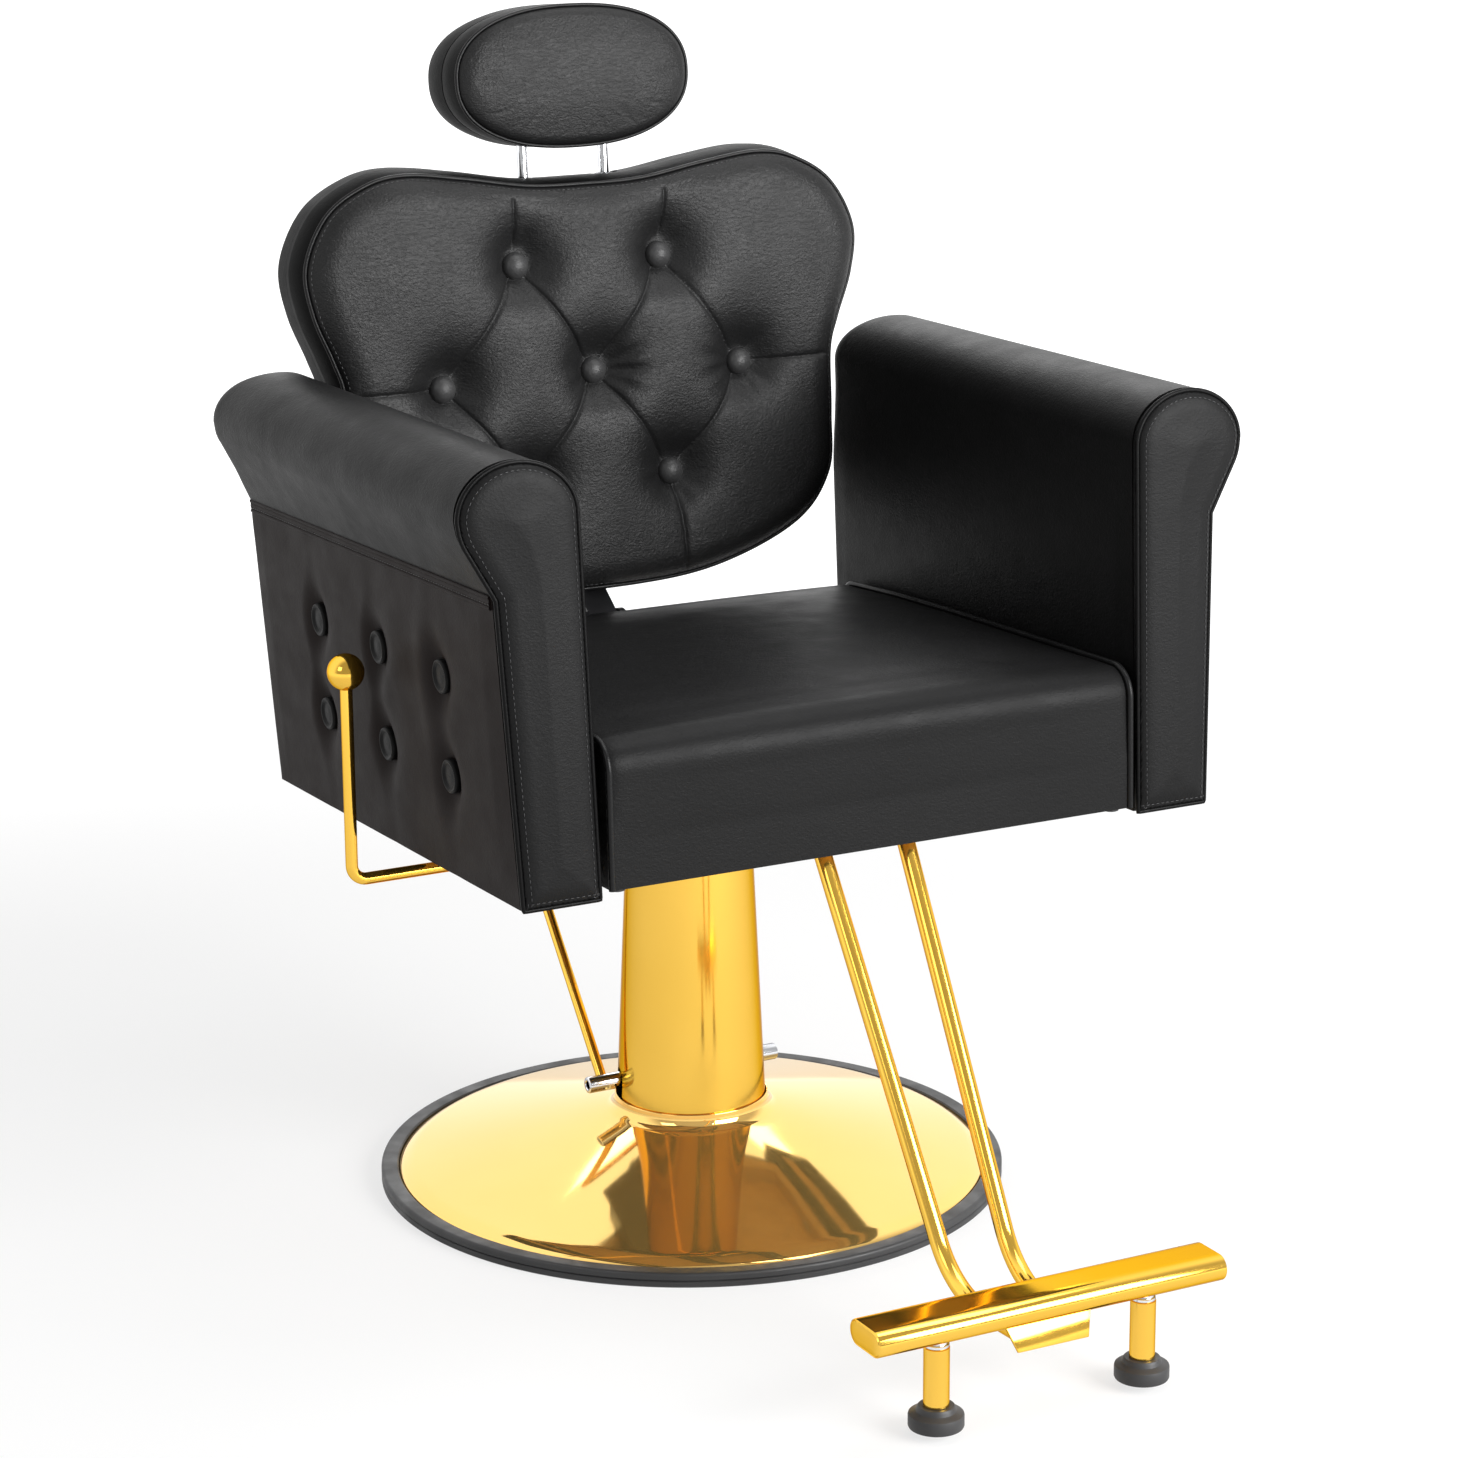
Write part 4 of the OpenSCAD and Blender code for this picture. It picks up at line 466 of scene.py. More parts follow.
def stadium(width, height, x, steps=14):
    reach, r = (width - height) / 2, height / 2
    round_front = [(x, BAR_Y - reach + r * math.cos(a), BAR_Z + r * math.sin(a))
                   for a in np.linspace(math.pi / 2, 3 * math.pi / 2, steps + 1)]
    round_back = [(x, BAR_Y + reach + r * math.cos(a), BAR_Z + r * math.sin(a))
                  for a in np.linspace(-math.pi / 2, math.pi / 2, steps + 1)]
    flats = np.linspace(0, 1, 7)[1:-1]
    bottom = [(x, BAR_Y - reach + 2 * reach * t, BAR_Z - r) for t in flats]
    top = [(x, BAR_Y + reach - 2 * reach * t, BAR_Z + r) for t in flats]
    return round_front + bottom + round_back + top


end_steps = [(0.0075, 0.0), (0.0040, 0.0003), (0.0020, 0.0009), (0.0014, 0.0016), (0.0010, 0.0013),
             (0.0003, 0.0016), (0, 0.0024)]
ends = [stadium(BAR_W - 2 * draw, BAR_T - 2 * draw, -BAR_L / 2 + inset) for draw, inset in end_steps]
ends += [[(-x, y, z) for x, y, z in ring] for ring in ends[::-1]]
bar = piece("foot_bar_gold", [skin(ends)], gold, 32)
hand_over(bar, "seat", "gold", "foot_bar")


def dressed(node, finish, edge, steps=2):
    # the node's own shape with its sharp edges rounded
    mesh = cad[node].data.copy()
    mesh.name = node + "_dressed"
    work = bmesh.new()
    work.from_mesh(mesh)
    bmesh.ops.remove_doubles(work, verts=work.verts, dist=1e-6)
    bmesh.ops.dissolve_limit(work, angle_limit=math.radians(1), verts=work.verts, edges=work.edges)
    work.to_mesh(mesh)
    work.free()
    mesh.materials.clear()
    mesh.materials.append(finish)
    made = add_object(node + "_dressed", mesh)
    soft_edge = made.modifiers.new("edge", "BEVEL")
    soft_edge.width, soft_edge.segments, soft_edge.limit_method = edge, steps, "ANGLE"
    soft_edge.angle_limit = math.radians(32)
    fresh = settled(made)
    fresh.polygons.foreach_set("use_smooth", [True] * len(fresh.polygons))
    fresh.set_sharp_from_angle(angle=math.radians(35))
    return made


hand_over(dressed("foot_bracket", gold, 0.0007), "seat", "gold", "foot_bracket")

LEG_X, LEG_R, LEG_LOW, LEG_TOP, BAR_LOW = 0.101, 0.011, 0.0266, 0.0791, 0.0881
legs, necks, pads = [], [], []
for side in (-1, 1):
    spot = (side * LEG_X, BAR_Y, 0)
    legs.append(skin(lathe([(0.001, LEG_LOW), (LEG_R - 0.0006, LEG_LOW), (LEG_R, LEG_LOW + 0.0006),
                            (LEG_R, LEG_TOP - 0.0008), (LEG_R - 0.0008, LEG_TOP), (0.001, LEG_TOP)],
                           48, spot), looped=True))
    necks.append(skin(lathe([(0.001, LEG_TOP), (0.0100, LEG_TOP), (0.0105, LEG_TOP + 0.0005),
                             (0.0105, LEG_TOP + 0.0025), (0.0100, LEG_TOP + 0.003), (0.0092, LEG_TOP + 0.003),
                             (0.009, LEG_TOP + 0.0034), (0.009, BAR_LOW + 0.001), (0.001, BAR_LOW + 0.001)],
                            48, spot), looped=True))
    pads.append(skin(lathe([(0.001, 0.0076), (0.0215, 0.0076), (0.0229, 0.0081), (0.0235, 0.0094),
                            (0.0235, 0.0182), (0.0231, 0.0196), (0.0222, 0.0202), (0.0185, 0.0212),
                            (0.0170, 0.0222), (0.0163, 0.0240), (0.0158, 0.0258), (0.0150, LEG_LOW),
                            (0.001, LEG_LOW)], 64, spot), looped=True))
hand_over(piece("gold_legs", legs, gold), "seat", "gold", "footrest_legs")
hand_over(piece("chrome_necks", necks, chrome, 30), "seat", "chrome", "leg_necks")
hand_over(piece("rubber_feet", pads, rubber, 30), "seat", "rubber_black", "foot_pads")

# ---------- recline lever ----------
# A gold rod comes out of two bushes in the frame, bends up outside the right arm and ends in a
# turned ball. It lifts the release pin of the gas strut.
LEVER_R, LEVER_X, LEVER_Y, LEVER_Z, LEVER_BEND = 0.0055, 0.380, -0.087, 0.371, 0.014
BALL_Z, BALL_R = 0.5615, 0.0165
lever_path = rounded([(0.0665, LEVER_Y, LEVER_Z), (-LEVER_X, LEVER_Y, LEVER_Z),
                      (-LEVER_X, LEVER_Y, BALL_Z - BALL_R * 0.6)], LEVER_BEND, 14)
lever = piece("lever_rod", [skin(rod_rings(lever_path, LEVER_R, 32))], gold)
hand_over(lever, "lever", "gold", "recline_lever")
ball_rings = [[(-LEVER_X + r * math.cos(a), LEVER_Y + r * math.sin(a), BALL_Z + z) for a in around(64)]
              for r, z in arc((0, 0), BALL_R, -66, 89.5, 30)]
ball = piece("lever_ball_gold", [skin(ball_rings)], gold, 60)
hand_over(ball, "lever", "gold", "lever_ball")

# ---------- seat ----------
# One synthetic-leather cover runs from the front lower edge over the rolled front and back along
# the top. Plain side panels are sewn on with a piping cord. It is stapled under wooden rails.


def black_leather(name, first, second, satin, shine, relief):
    # broad waves, the grain of the embossing, and its fine cells
    return finish_of(name, (4, 3), first, second, (26, 5, 0.6), satin,
                     [((24, 3, 0.5, 0.5), 0.0030, 0.16 * relief),
                      ((170, 4, 0.62, 1.1, (1, 1, 1.9)), 0.0011, 0.62 * relief),
                      (400, 0.0004, 0.45 * relief)], Specular_IOR_Level=shine)


leather = black_leather("black_leather", (0.0064, 0.0064, 0.0065), (0.0086, 0.0086, 0.0088),
                        (0.40, 0.50), 0.10, 0.45)
# painted light: a lighter, shinier copy of the black leather, worn by the lit faces of the back and the
# headrest
lit_face_leather = black_leather("black_leather_lit_faces", (0.0085, 0.0085, 0.0086), (0.0112, 0.0112, 0.0114),
                             (0.37, 0.46), 0.205, 1.0)
# painted shade: a darker copy of the black leather for the boxing round the back and the headrest
shaded_boxing_leather = black_leather("black_leather_shaded_boxing", (0.0035, 0.0035, 0.0036), (0.0050, 0.0050, 0.0051),
                             (0.46, 0.56), 0.06, 0.4)
# painted light: a lighter, browner copy of the black leather for the arms' outer panels and welts
lit_side_leather = black_leather("black_leather_lit_sides", (0.0150, 0.0112, 0.0105), (0.0188, 0.0142, 0.0132),
                             (0.50, 0.60), 0.075, 0.25)
cord_leather = black_leather("piping_leather", (0.0060, 0.0060, 0.0062), (0.0085, 0.0085, 0.0088),
                             (0.28, 0.36), 0.16, 0.3)
# painted shade: a darker copy of the black leather for the piping cord round the arm fronts
shaded_trim_leather = black_leather("shaded_trim_leather", (0.0030, 0.0030, 0.0031), (0.0045, 0.0045, 0.0046),
                             (0.32, 0.42), 0.08, 0.3)
# painted light: a lighter, shinier copy of the black leather for the domed buttons of the back
lit_button_leather = black_leather("lit_button_leather", (0.0280, 0.0280, 0.0283), (0.0360, 0.0360, 0.0365),
                               (0.38, 0.46), 0.30, 0.6)

SEAT_X, SEAT_FRONT, SEAT_BACK, SEAT_LOW, SEAT_TILT = 0.259, -0.362, 0.150, 0.4054, math.radians(2)
RAIL_H, CUSHION_TOP, CROWN, FRONT_R, REAR_R = 0.045, 0.127, 0.0065, 0.026, 0.012


def turned(points, angle, shift):
    # points turned about X by -angle, then moved
    p = np.array([tuple(q) for q in np.asarray(points, float).reshape(-1, 3)])
    c, s = math.cos(angle), math.sin(angle)
    out = np.stack([p[:, 0] + shift[0], p[:, 1] * c + p[:, 2] * s + shift[1],
                    p[:, 2] * c - p[:, 1] * s + shift[2]], 1)
    return out.reshape(np.shape(points))


def on_seat(points):
    return turned(points, SEAT_TILT, (0, 0, SEAT_LOW))


def evenly(points, count, closed=False):
    # count points at equal distances along a line of points
    p = np.asarray(points, float)
    if closed:
        p = np.vstack([p, p[:1]])
    run = np.concatenate([[0], np.cumsum(np.linalg.norm(np.diff(p, axis=0), axis=1))])
    spots = np.linspace(0, run[-1], count, endpoint=not closed)
    return np.stack([np.interp(spots, run, p[:, k]) for k in range(p.shape[1])], 1)


def seat_edge(drop=0.0):
    top = CUSHION_TOP - drop
    return ([(SEAT_FRONT, 0.0), (SEAT_FRONT, 0.05), (SEAT_FRONT, top - FRONT_R)]
            + arc((SEAT_FRONT + FRONT_R, top - FRONT_R), FRONT_R, 180, 90, 12)
            + [(SEAT_FRONT + 0.1, top), (SEAT_BACK - 0.20, top - 0.0005), (SEAT_BACK - 0.10, top - 0.0022)]
            + arc((SEAT_BACK - REAR_R, top - 0.006 - REAR_R), REAR_R, 88, 0, 6) + [(SEAT_BACK, 0.0)])


path = evenly(seat_edge(), 190)
normal = np.gradient(path, axis=0)
normal = np.stack([-normal[:, 1], normal[:, 0]], 1) / np.linalg.norm(normal, axis=1)[:, None]
lift = np.clip((path[:, 1] - RAIL_H) / 0.05, 0, 1) ** 0.7
over = np.where(path[:, 1] > CUSHION_TOP - 0.004, 1.0, 0.35)
over = np.convolve(np.pad(over, 9, "edge"), np.ones(19) / 19, "valid")
rings = []
for x in np.concatenate([[-SEAT_X], np.linspace(-SEAT_X + 0.0008, SEAT_X - 0.0008, 116), [SEAT_X]]):
    near = 1 - abs(x) / SEAT_X
    edge = math.sqrt(max(0.0, 1 - (1 - min(near * SEAT_X / 0.016, 1)) ** 2))
    tuck = -0.0035 * (1 - edge)
    rise = CROWN * (1 - (1 - near) ** 2.6)
    skin_line = path + normal * ((rise * over * lift) + tuck * lift)[:, None]
    under = np.stack([np.linspace(SEAT_BACK, SEAT_FRONT, 30)[1:-1], np.zeros(28)], 1)
    rings.append([(x, y, z) for y, z in np.vstack([skin_line, under])])
seat_rings = on_seat(rings)
seat = piece("seat_upholstery", [skin(seat_rings)], leather, 50)


def puff(body, held, pressure, cap, frames=20, tight=0.0):
    # blows the cover out like stuffing with Cloth, holds the named points, caps the swelling
    start = np.array([tuple(v.co) for v in body.data.vertices])
    trial = body.copy()
    trial.data = body.data.copy()
    bpy.context.scene.collection.objects.link(trial)
    group = trial.vertex_groups.new(name="sewn")
    for i in np.nonzero(held > 0)[0]:
        group.add([int(i)], float(held[i]), "REPLACE")
    cloth = trial.modifiers.new("stuffing", "CLOTH")
    settings = cloth.settings
    settings.quality, settings.mass = 5, 0.3
    settings.tension_stiffness = settings.compression_stiffness = settings.shear_stiffness = 12
    settings.bending_stiffness = 0.8
    settings.use_pressure, settings.uniform_pressure_force = True, pressure
    settings.shrink_min = tight
    settings.vertex_group_mass = "sewn"
    settings.effector_weights.gravity = 0
    cloth.collision_settings.use_collision = False
    cloth.point_cache.frame_start, cloth.point_cache.frame_end = 1, frames
    scene = bpy.context.scene
    for frame_number in range(1, frames + 1):
        scene.frame_set(frame_number)
        bpy.context.view_layer.update()
    graph = bpy.context.evaluated_depsgraph_get()
    swollen = trial.evaluated_get(graph).to_mesh()
    end = np.array([tuple(v.co) for v in swollen.vertices])
    trial.evaluated_get(graph).to_mesh_clear()
    move = end - start
    size = np.linalg.norm(move, axis=1)
    move *= (cap * np.tanh(size / cap) / np.maximum(size, 1e-9))[:, None]
    move[held >= 1] = 0
    body.data.vertices.foreach_set("co", (start + move).astype(np.float32).ravel())
    body.data.update()
    bpy.data.objects.remove(trial)
    scene.frame_set(1)


flat_seat = np.array(rings).reshape(-1, 3)
held = np.clip((0.075 - flat_seat[:, 2]) / 0.03, 0, 1)
held = np.maximum(held, np.clip(1 - (SEAT_X - np.abs(flat_seat[:, 0])) / 0.006, 0, 1))
held = np.maximum(held, np.clip((flat_seat[:, 1] - SEAT_BACK + 0.03) / 0.02, 0, 1))
held = np.maximum(held, np.clip((SEAT_FRONT + 0.085 - flat_seat[:, 1]) / 0.04, 0, 1))
puff(seat, held, 3.0, 0.003)


def block(name, place, x0, x1, y0, y1, z0, z1):
    # a box to cut away, given in the part's own tilted directions
    outline = ((y0, z0), (y1, z0), (y1, z1), (y0, z1))
    return piece(name, [skin(place([[(x, y, z) for y, z in outline] for x in (x0, x1)]))], leather)


cut(seat, block("rail_space", on_seat, -0.255, 0.255, -0.358, 0.146, -0.01, RAIL_H))
cut(seat, block("strut_space", on_seat, -0.0195, 0.0195, 0.14, 0.16, -0.01, 0.017))
hand_over(seat, "seat", "black_leather", "seat_cushion", "seat_band", fill=0.9)


def cord(points, radius, across, sides=10, closed=True):
    # rings of a sewn-in cord; across is the direction out of the plane of the line
    p = np.asarray(points, float)
    ahead = (np.roll(p, -1, 0) - np.roll(p, 1, 0)) if closed else np.gradient(p, axis=0)
    ahead /= np.linalg.norm(ahead, axis=1)[:, None]
    side = np.cross(ahead, np.asarray(across, float))
    side /= np.linalg.norm(side, axis=1)[:, None]
    over = np.cross(side, ahead)
    return [[p[i] + radius * (math.cos(a) * side[i] + math.sin(a) * over[i]) for a in around(sides)]
            for i in range(len(p))]


PIPE = 0.0030
left = on_seat([[(SEAT_X - 0.0008, y, z) for y, z in evenly(seat_edge(), 260)]])[0]
pipe = cord(left, PIPE, (1, 0, 0), closed=False)
hand_over(piece("seat_piping_cord", [skin(pipe), skin(mirrored(pipe))], cord_leather, 60),
          "seat", "black_leather", "seat_piping")
hand_over(dressed("glides", rubber, 0.0008), "seat", "rubber_black", "glides")

# ---------- arms ----------
# Scroll arms: plywood, foam and leather. The roll and the inner face are one panel, the outer
# panel is sewn to it under the roll with a double welt and pulled in by six flat buttons.
ARM_IN, ROLL_X, ROLL_RX, ROLL_Z, ROLL_RZ = 0.2685, 0.3275, 0.054, 0.741, 0.046
UNDER_X, SEAM_X, SEAM_Z, FLARE = 0.3350, 0.3506, 0.672, math.radians(2.5)
ARM_BASE, ARM_TOP, ARM_REAR = 0.41104, 0.787, 0.186
ARM_LEAN, REAR_LEAN = math.radians(3.8), math.radians(5.5)
FACING_T, ARM_ROUND, END_R = 0.010, 0.050, 0.018
away = (SEAM_X - UNDER_X, SEAM_Z - ROLL_Z)
UNDER_A = math.degrees(math.atan2(away[1], away[0]) + math.acos(ROLL_RZ / math.hypot(*away)))


def arm_outline(low, seam):
    # front view of one arm: inner foot, up the inside, over the roll, seam, outer foot
    over_roll = [(ROLL_X + ROLL_RX * math.cos(a), ROLL_Z + ROLL_RZ * math.sin(a))
                 for a in np.linspace(math.pi, 0, 40)]
    under_roll = arc((UNDER_X, ROLL_Z), ROLL_RZ, 0, UNDER_A, 10)[1:]
    seam_at = SEAM_X + (seam - SEAM_Z) * math.tan(FLARE)
    return ([(ARM_IN, low)] + over_roll + under_roll + [(seam_at, seam)],
            [(seam_at, seam), (SEAM_X - (SEAM_Z - low) * math.tan(FLARE), low)])


def seam_height(t):
    return 0.675 - 0.0175 * t


def arm_depth(z, t):
    front = SEAT_FRONT + FACING_T / math.cos(ARM_LEAN) + (z - ARM_BASE) * math.tan(ARM_LEAN)
    rear = ARM_REAR + (z - (ARM_BASE - 0.019)) * math.tan(REAR_LEAN)
    rounding = np.clip(z - (ARM_TOP - ARM_ROUND), 0, ARM_ROUND - 0.001)
    rear -= ARM_ROUND - np.sqrt(ARM_ROUND ** 2 - rounding ** 2)
    return front + (rear - front) * t


def arm_foot(y):
    return SEAT_LOW - 0.007 / math.cos(SEAT_TILT) - y * math.tan(SEAT_TILT)


BUTTON_SPOTS = [(0.059 - 0.1365 * k - 0.006 * row, 0.5734 + 0.004 * k - 0.087 * row)
                for k in range(3) for row in range(2)]
PANEL_OUT = np.array([math.cos(FLARE), 0, -math.sin(FLARE)])


def panel_dent(y, z):
    # how far the outer panel is pulled in by its buttons
    dent = np.zeros_like(y)
    for k in range(3):
        top, low = BUTTON_SPOTS[2 * k], BUTTON_SPOTS[2 * k + 1]
        for by, bz in (top, low):
            dent = np.maximum(dent, 0.0080 * np.exp(-((np.hypot(y - by, z - bz) / 0.024) ** 2)))
        along = np.clip((top[1] - z) / (top[1] - low[1]), -0.9, 1.7)
        line = top[0] + (low[0] - top[0]) * along + 0.004 * np.sin(along * 2.6 + k)
        fade = np.exp(-np.clip(np.maximum(-along, along - 1), 0, 9) ** 2 / 0.22)
        dent += 0.0042 * fade * np.exp(-(((y - line) / 0.013) ** 2)) * (0.75 + 0.25 * np.cos(along * 6.28))
        dent -= 0.0018 * fade * np.exp(-(((y - line - 0.026) / 0.015) ** 2))
    return dent


arm_rings, stations, outline_steps = [], 132, 150
for t in np.linspace(0, 1, stations):
    seam = seam_height(t)
    upper, lower = arm_outline(0.40, seam)
    line = np.vstack([evenly(upper, outline_steps), evenly(lower, 74)[1:]])
    x, z = line[:, 0], line[:, 1].copy()
    y = arm_depth(z, t)
    foot = arm_foot(y)
    share = np.clip((z - 0.40) / 0.10, 0, 1)
    z = np.where(share < 1, foot + (0.50 - foot) * share, z)
    y = arm_depth(z, t)
    outer = np.arange(len(z)) >= outline_steps
    dent = np.where(outer, panel_dent(y, z), 0)
    fade = np.clip(np.minimum(t, 1 - t) / 0.05, 0, 1) * np.clip((z - foot) / 0.03, 0, 1)
    swell = np.where(outer, 0.0025 * np.sin(np.clip((z - foot) / (seam - foot), 0, 1) * math.pi) ** 0.6, 0)
    swell += np.where(outer, 0, 0.0016 * np.sin(np.clip((z - foot) / 0.3, 0, 1) * math.pi))
    out = np.where(outer, 1.0, np.where(x < ROLL_X - 0.03, -1.0, 0.0))
    high = np.clip((z - 0.61) / 0.11, 0, 1)
    high = high * high * (3 - 2 * high)
    radius = 0.0035 + (END_R - 0.0035) * high
    left = np.clip(1 - (1 - t) * 0.54 / radius, 0, 1)
    draw = radius * (1 - np.sqrt(1 - 0.98 * left ** 2))
    x = x + 0.0035 * t * high * np.clip((x - ROLL_X) / 0.03, 0, 1)
    z = z - 0.0068 * t * np.clip((z - 0.69) / 0.04, 0, 1)
    x = x + (0.310 + (ROLL_X - 0.310) * high - x) * draw / (0.041 + (ROLL_RX - 0.041) * high)
    z = z + (ROLL_Z - 0.012 - z) * draw / ROLL_RZ * high + draw * np.clip(1 - (z - foot) / 0.03, 0, 1)
    y = arm_depth(z, t)
    x = x + out * (swell * fade) - np.where(outer, dent, 0) * np.clip((seam - z) / 0.02, 0, 1)
    arm_rings.append(np.stack([x, y, z], 1))
shut = arm_rings[-1]
middle = np.array([0.318, 0, 0.60])
for inset, bulge in ((0.985, 0.0022), (0.955, 0.0042), (0.9, 0.0058), (0.75, 0.0068), (0.5, 0.0074),
                     (0.2, 0.0078)):
    ring = shut.copy()
    ring[:, 0] = middle[0] + (shut[:, 0] - middle[0]) * inset
    ring[:, 2] = middle[2] + (shut[:, 2] - middle[2]) * inset
    ring[:, 1] = arm_depth(ring[:, 2], 1) + bulge
    arm_rings.append(ring)
arm_shell = skin(arm_rings)
right_shell = skin(mirrored(arm_rings))


# the plywood core stands in a slot that is open below
for name, shell, side in (("arm_left", arm_shell, 1), ("arm_right", right_shell, -1)):
    arm = piece(name + "_upholstery", [shell], leather, 60)
    # the outer panel below the seam gets the lighter, browner copy of the leather: painted light
    arm.data.materials.append(lit_side_leather)
    count = outline_steps + 73
    for face in arm.data.polygons:
        if all(i < stations * count and outline_steps - 1 <= i % count for i in face.vertices):
            face.material_index = 1
    cut(arm, block("core_cutter", on_seat, side * 0.280, side * 0.2983, -0.322, 0.164, -0.012, 0.300))
    hand_over(arm, "seat", "black_leather", name, fill=0.85)


def offset_line(outline, d):
    # a closed line of (x, z) drawn in by d
    p = np.asarray(outline, float)
    t = np.roll(p, -1, 0) - np.roll(p, 1, 0)
    area = 0.5 * np.sum(p[:, 0] * np.roll(p[:, 1], -1) - np.roll(p[:, 0], -1) * p[:, 1])
    t /= np.maximum(np.linalg.norm(t, axis=1), 1e-9)[:, None]
    return p + d * np.stack([-t[:, 1], t[:, 0]], 1) * np.sign(area)


def on_facing(points):
    return turned(points, ARM_LEAN, (0, SEAT_FRONT, ARM_BASE))


def disc_grid(n):
    # a square grid laid over a disc: radius and turn (0 to 1) of each point
    a = np.linspace(-1, 1, n + 1)
    u, v = np.meshgrid(a, a, indexing="ij")
    wide = np.abs(u) > np.abs(v)
    r = np.where(wide, u, v)
    with np.errstate(divide="ignore", invalid="ignore"):
        turn = np.where(wide, v / u * math.pi / 4, math.pi / 2 - u / v * math.pi / 4)
    turn = np.where(r == 0, 0, turn)
    turn = np.where(r < 0, turn + math.pi, turn)
    return np.abs(r), (turn / (2 * math.pi)) % 1


def rim_order(n):
    # the grid's rim points in order of their turn
    index = np.arange((n + 1) ** 2).reshape(n + 1, n + 1)
    rim = list(index[n, n // 2:]) + list(index[n - 1::-1, n]) + list(index[0, n - 1::-1])
    rim += list(index[1:, 0]) + list(index[n, 1:n // 2])
    return rim


BACK_INSET = 0.0004


def pad(outline, middle, n, face, rings, back, hidden_back=False):
    # a closed pad: a face grid, rings round its side, and a back grid.
    # rings are (inset, depth); face and back turn (x, z, r) into a depth
    r, turn = disc_grid(n)

    def edge(inset):
        line = evenly(offset_line(outline, inset), 4 * n, closed=True)
        line = np.vstack([line, line[:1]])
        spots = turn * 4 * n
        return np.stack([np.interp(spots, np.arange(4 * n + 1), line[:, k]) for k in range(2)], -1)

    def grid(inset, depth):
        rim = edge(inset)
        x = middle[0] + (rim[..., 0] - middle[0]) * r
        z = middle[1] + (rim[..., 1] - middle[1]) * r
        return np.stack([x, depth(x, z, r), z], -1).reshape(-1, 3)

    front = grid(rings[0][0], face)
    rim = rim_order(n)
    points, faces = [front], []
    index = np.arange((n + 1) ** 2).reshape(n + 1, n + 1)
    a, b = index[:-1, :-1].ravel(), index[1:, :-1].ravel()
    c, d = index[1:, 1:].ravel(), index[:-1, 1:].ravel()
    faces += list(zip(a.tolist(), b.tolist(), c.tolist(), d.tolist()))
    last, total = rim, (n + 1) ** 2

    def bridge(first, second):
        return [(first[k - 1], second[k - 1], second[k], first[k]) for k in [*range(1, len(rim)), 0]]

    for inset, depth in rings[1:]:
        flat = edge(inset).reshape(-1, 2)[rim]
        points.append(np.stack([flat[:, 0], np.full(len(rim), depth), flat[:, 1]], 1))
        fresh = list(range(total, total + len(rim)))
        faces += bridge(last, fresh)
        last, total = fresh, total + len(rim)
    if hidden_back:
        # the back lies on a board: a few rings drawn in to the middle are enough
        flat = edge(rings[-1][0] + BACK_INSET).reshape(-1, 2)[rim]
        for share in (0.97, 0.8, 0.55, 0.3, 0.1):
            spots = middle + (flat - middle) * share
            points.append(np.stack([spots[:, 0], back(spots[:, 0], spots[:, 1], share), spots[:, 1]], 1))
            fresh = list(range(total, total + len(rim)))
            faces += bridge(last, fresh)
            last, total = fresh, total + len(rim)
        points.append(np.array([[middle[0], back(np.zeros(1), np.zeros(1), 0)[0], middle[1]]]))
        faces += [(last[k], total, last[(k + 1) % len(rim)]) for k in range(len(rim))]
        return np.vstack(points), faces
    points.append(grid(rings[-1][0] + BACK_INSET, back))
    faces += [tuple(total + i for i in face) for face in zip(*(corner.tolist() for corner in (d, c, b, a)))]
    faces += bridge(last, [total + i for i in rim])
    return np.vstack(points), faces


def two_leathers(made, faces):
    # the pad's face keeps its leather, everything behind the seam gets the darker copy of the leather:
    # painted shade on the boxing
    made.data.materials.append(shaded_boxing_leather)
    count = len(made.data.polygons)
    made.data.polygons.foreach_set("material_index", [0] * faces + [1] * (count - faces))


def quarter_round(far, reach):
    # 0 at the rim, 1 from reach inward, and a quarter of a circle between
    return np.sqrt(np.clip(1 - (1 - np.clip(far / reach, 0, 1)) ** 2, 0, 1))


def rim_distance(x, z, outline):
    line = evenly(outline, 700, closed=True)
    flat = np.stack([x.ravel(), z.ravel()], 1)
    far = np.empty(len(flat))
    for k in range(0, len(flat), 4000):
        part = flat[k:k + 4000]
        far[k:k + 4000] = np.sqrt(((part[:, None, :] - line[None]) ** 2).sum(-1)).min(1)
    return far.reshape(x.shape)


upper, lower = arm_outline(ARM_BASE + 0.001, 0.6750)
front_line = [(x, z - ARM_BASE) for x, z in [*evenly(upper, 260), *evenly(lower, 70)[1:]]]
front_line += [(x, 0.001) for x in np.linspace(lower[1][0], ARM_IN, 30)[1:-1]]
FACING_MIDDLE, FACING_GRID, FACING_CORD, WELT_R = (0.306, 0.235), 110, 0.0021, 0.0019


def facing_puff(x, z, r):
    far = rim_distance(x, z, offset_line(front_line, PIPE * 0.7))
    return 0.0015 - 0.0058 * quarter_round(far, 0.016) - 0.0028 * np.clip(far / 0.045, 0, 1) ** 1.5


facing = pad(front_line, FACING_MIDDLE, FACING_GRID, facing_puff,
             [(PIPE * 0.7, 0.0015), (PIPE * 0.5, 0.003), (0.0004, 0.0045), (0.0003, 0.0085), (0.001, 0.0097)],
             lambda x, z, r: np.full_like(x, 0.0098))
facing = (on_facing(facing[0]), facing[1])
other = (mirrored(facing[0]), facing[1])
hand_over(piece("arm_front_panels", [facing, other], leather, 60), "seat", "black_leather", "arm_facings",
          fill=0.8)
ring = on_facing([[(x, 0.0022, z) for x, z in evenly(front_line, 420, closed=True)]])[0]
pipe = cord(ring, FACING_CORD, (0, 1, 0))
# the arm fronts' cord wears the darker copy of the leather: painted shade
arm_piping = piece("arm_piping_cord", [skin(pipe, looped=True), skin(mirrored(pipe), looped=True)],
                   shaded_trim_leather, 60)
hand_over(arm_piping, "seat", "black_leather")


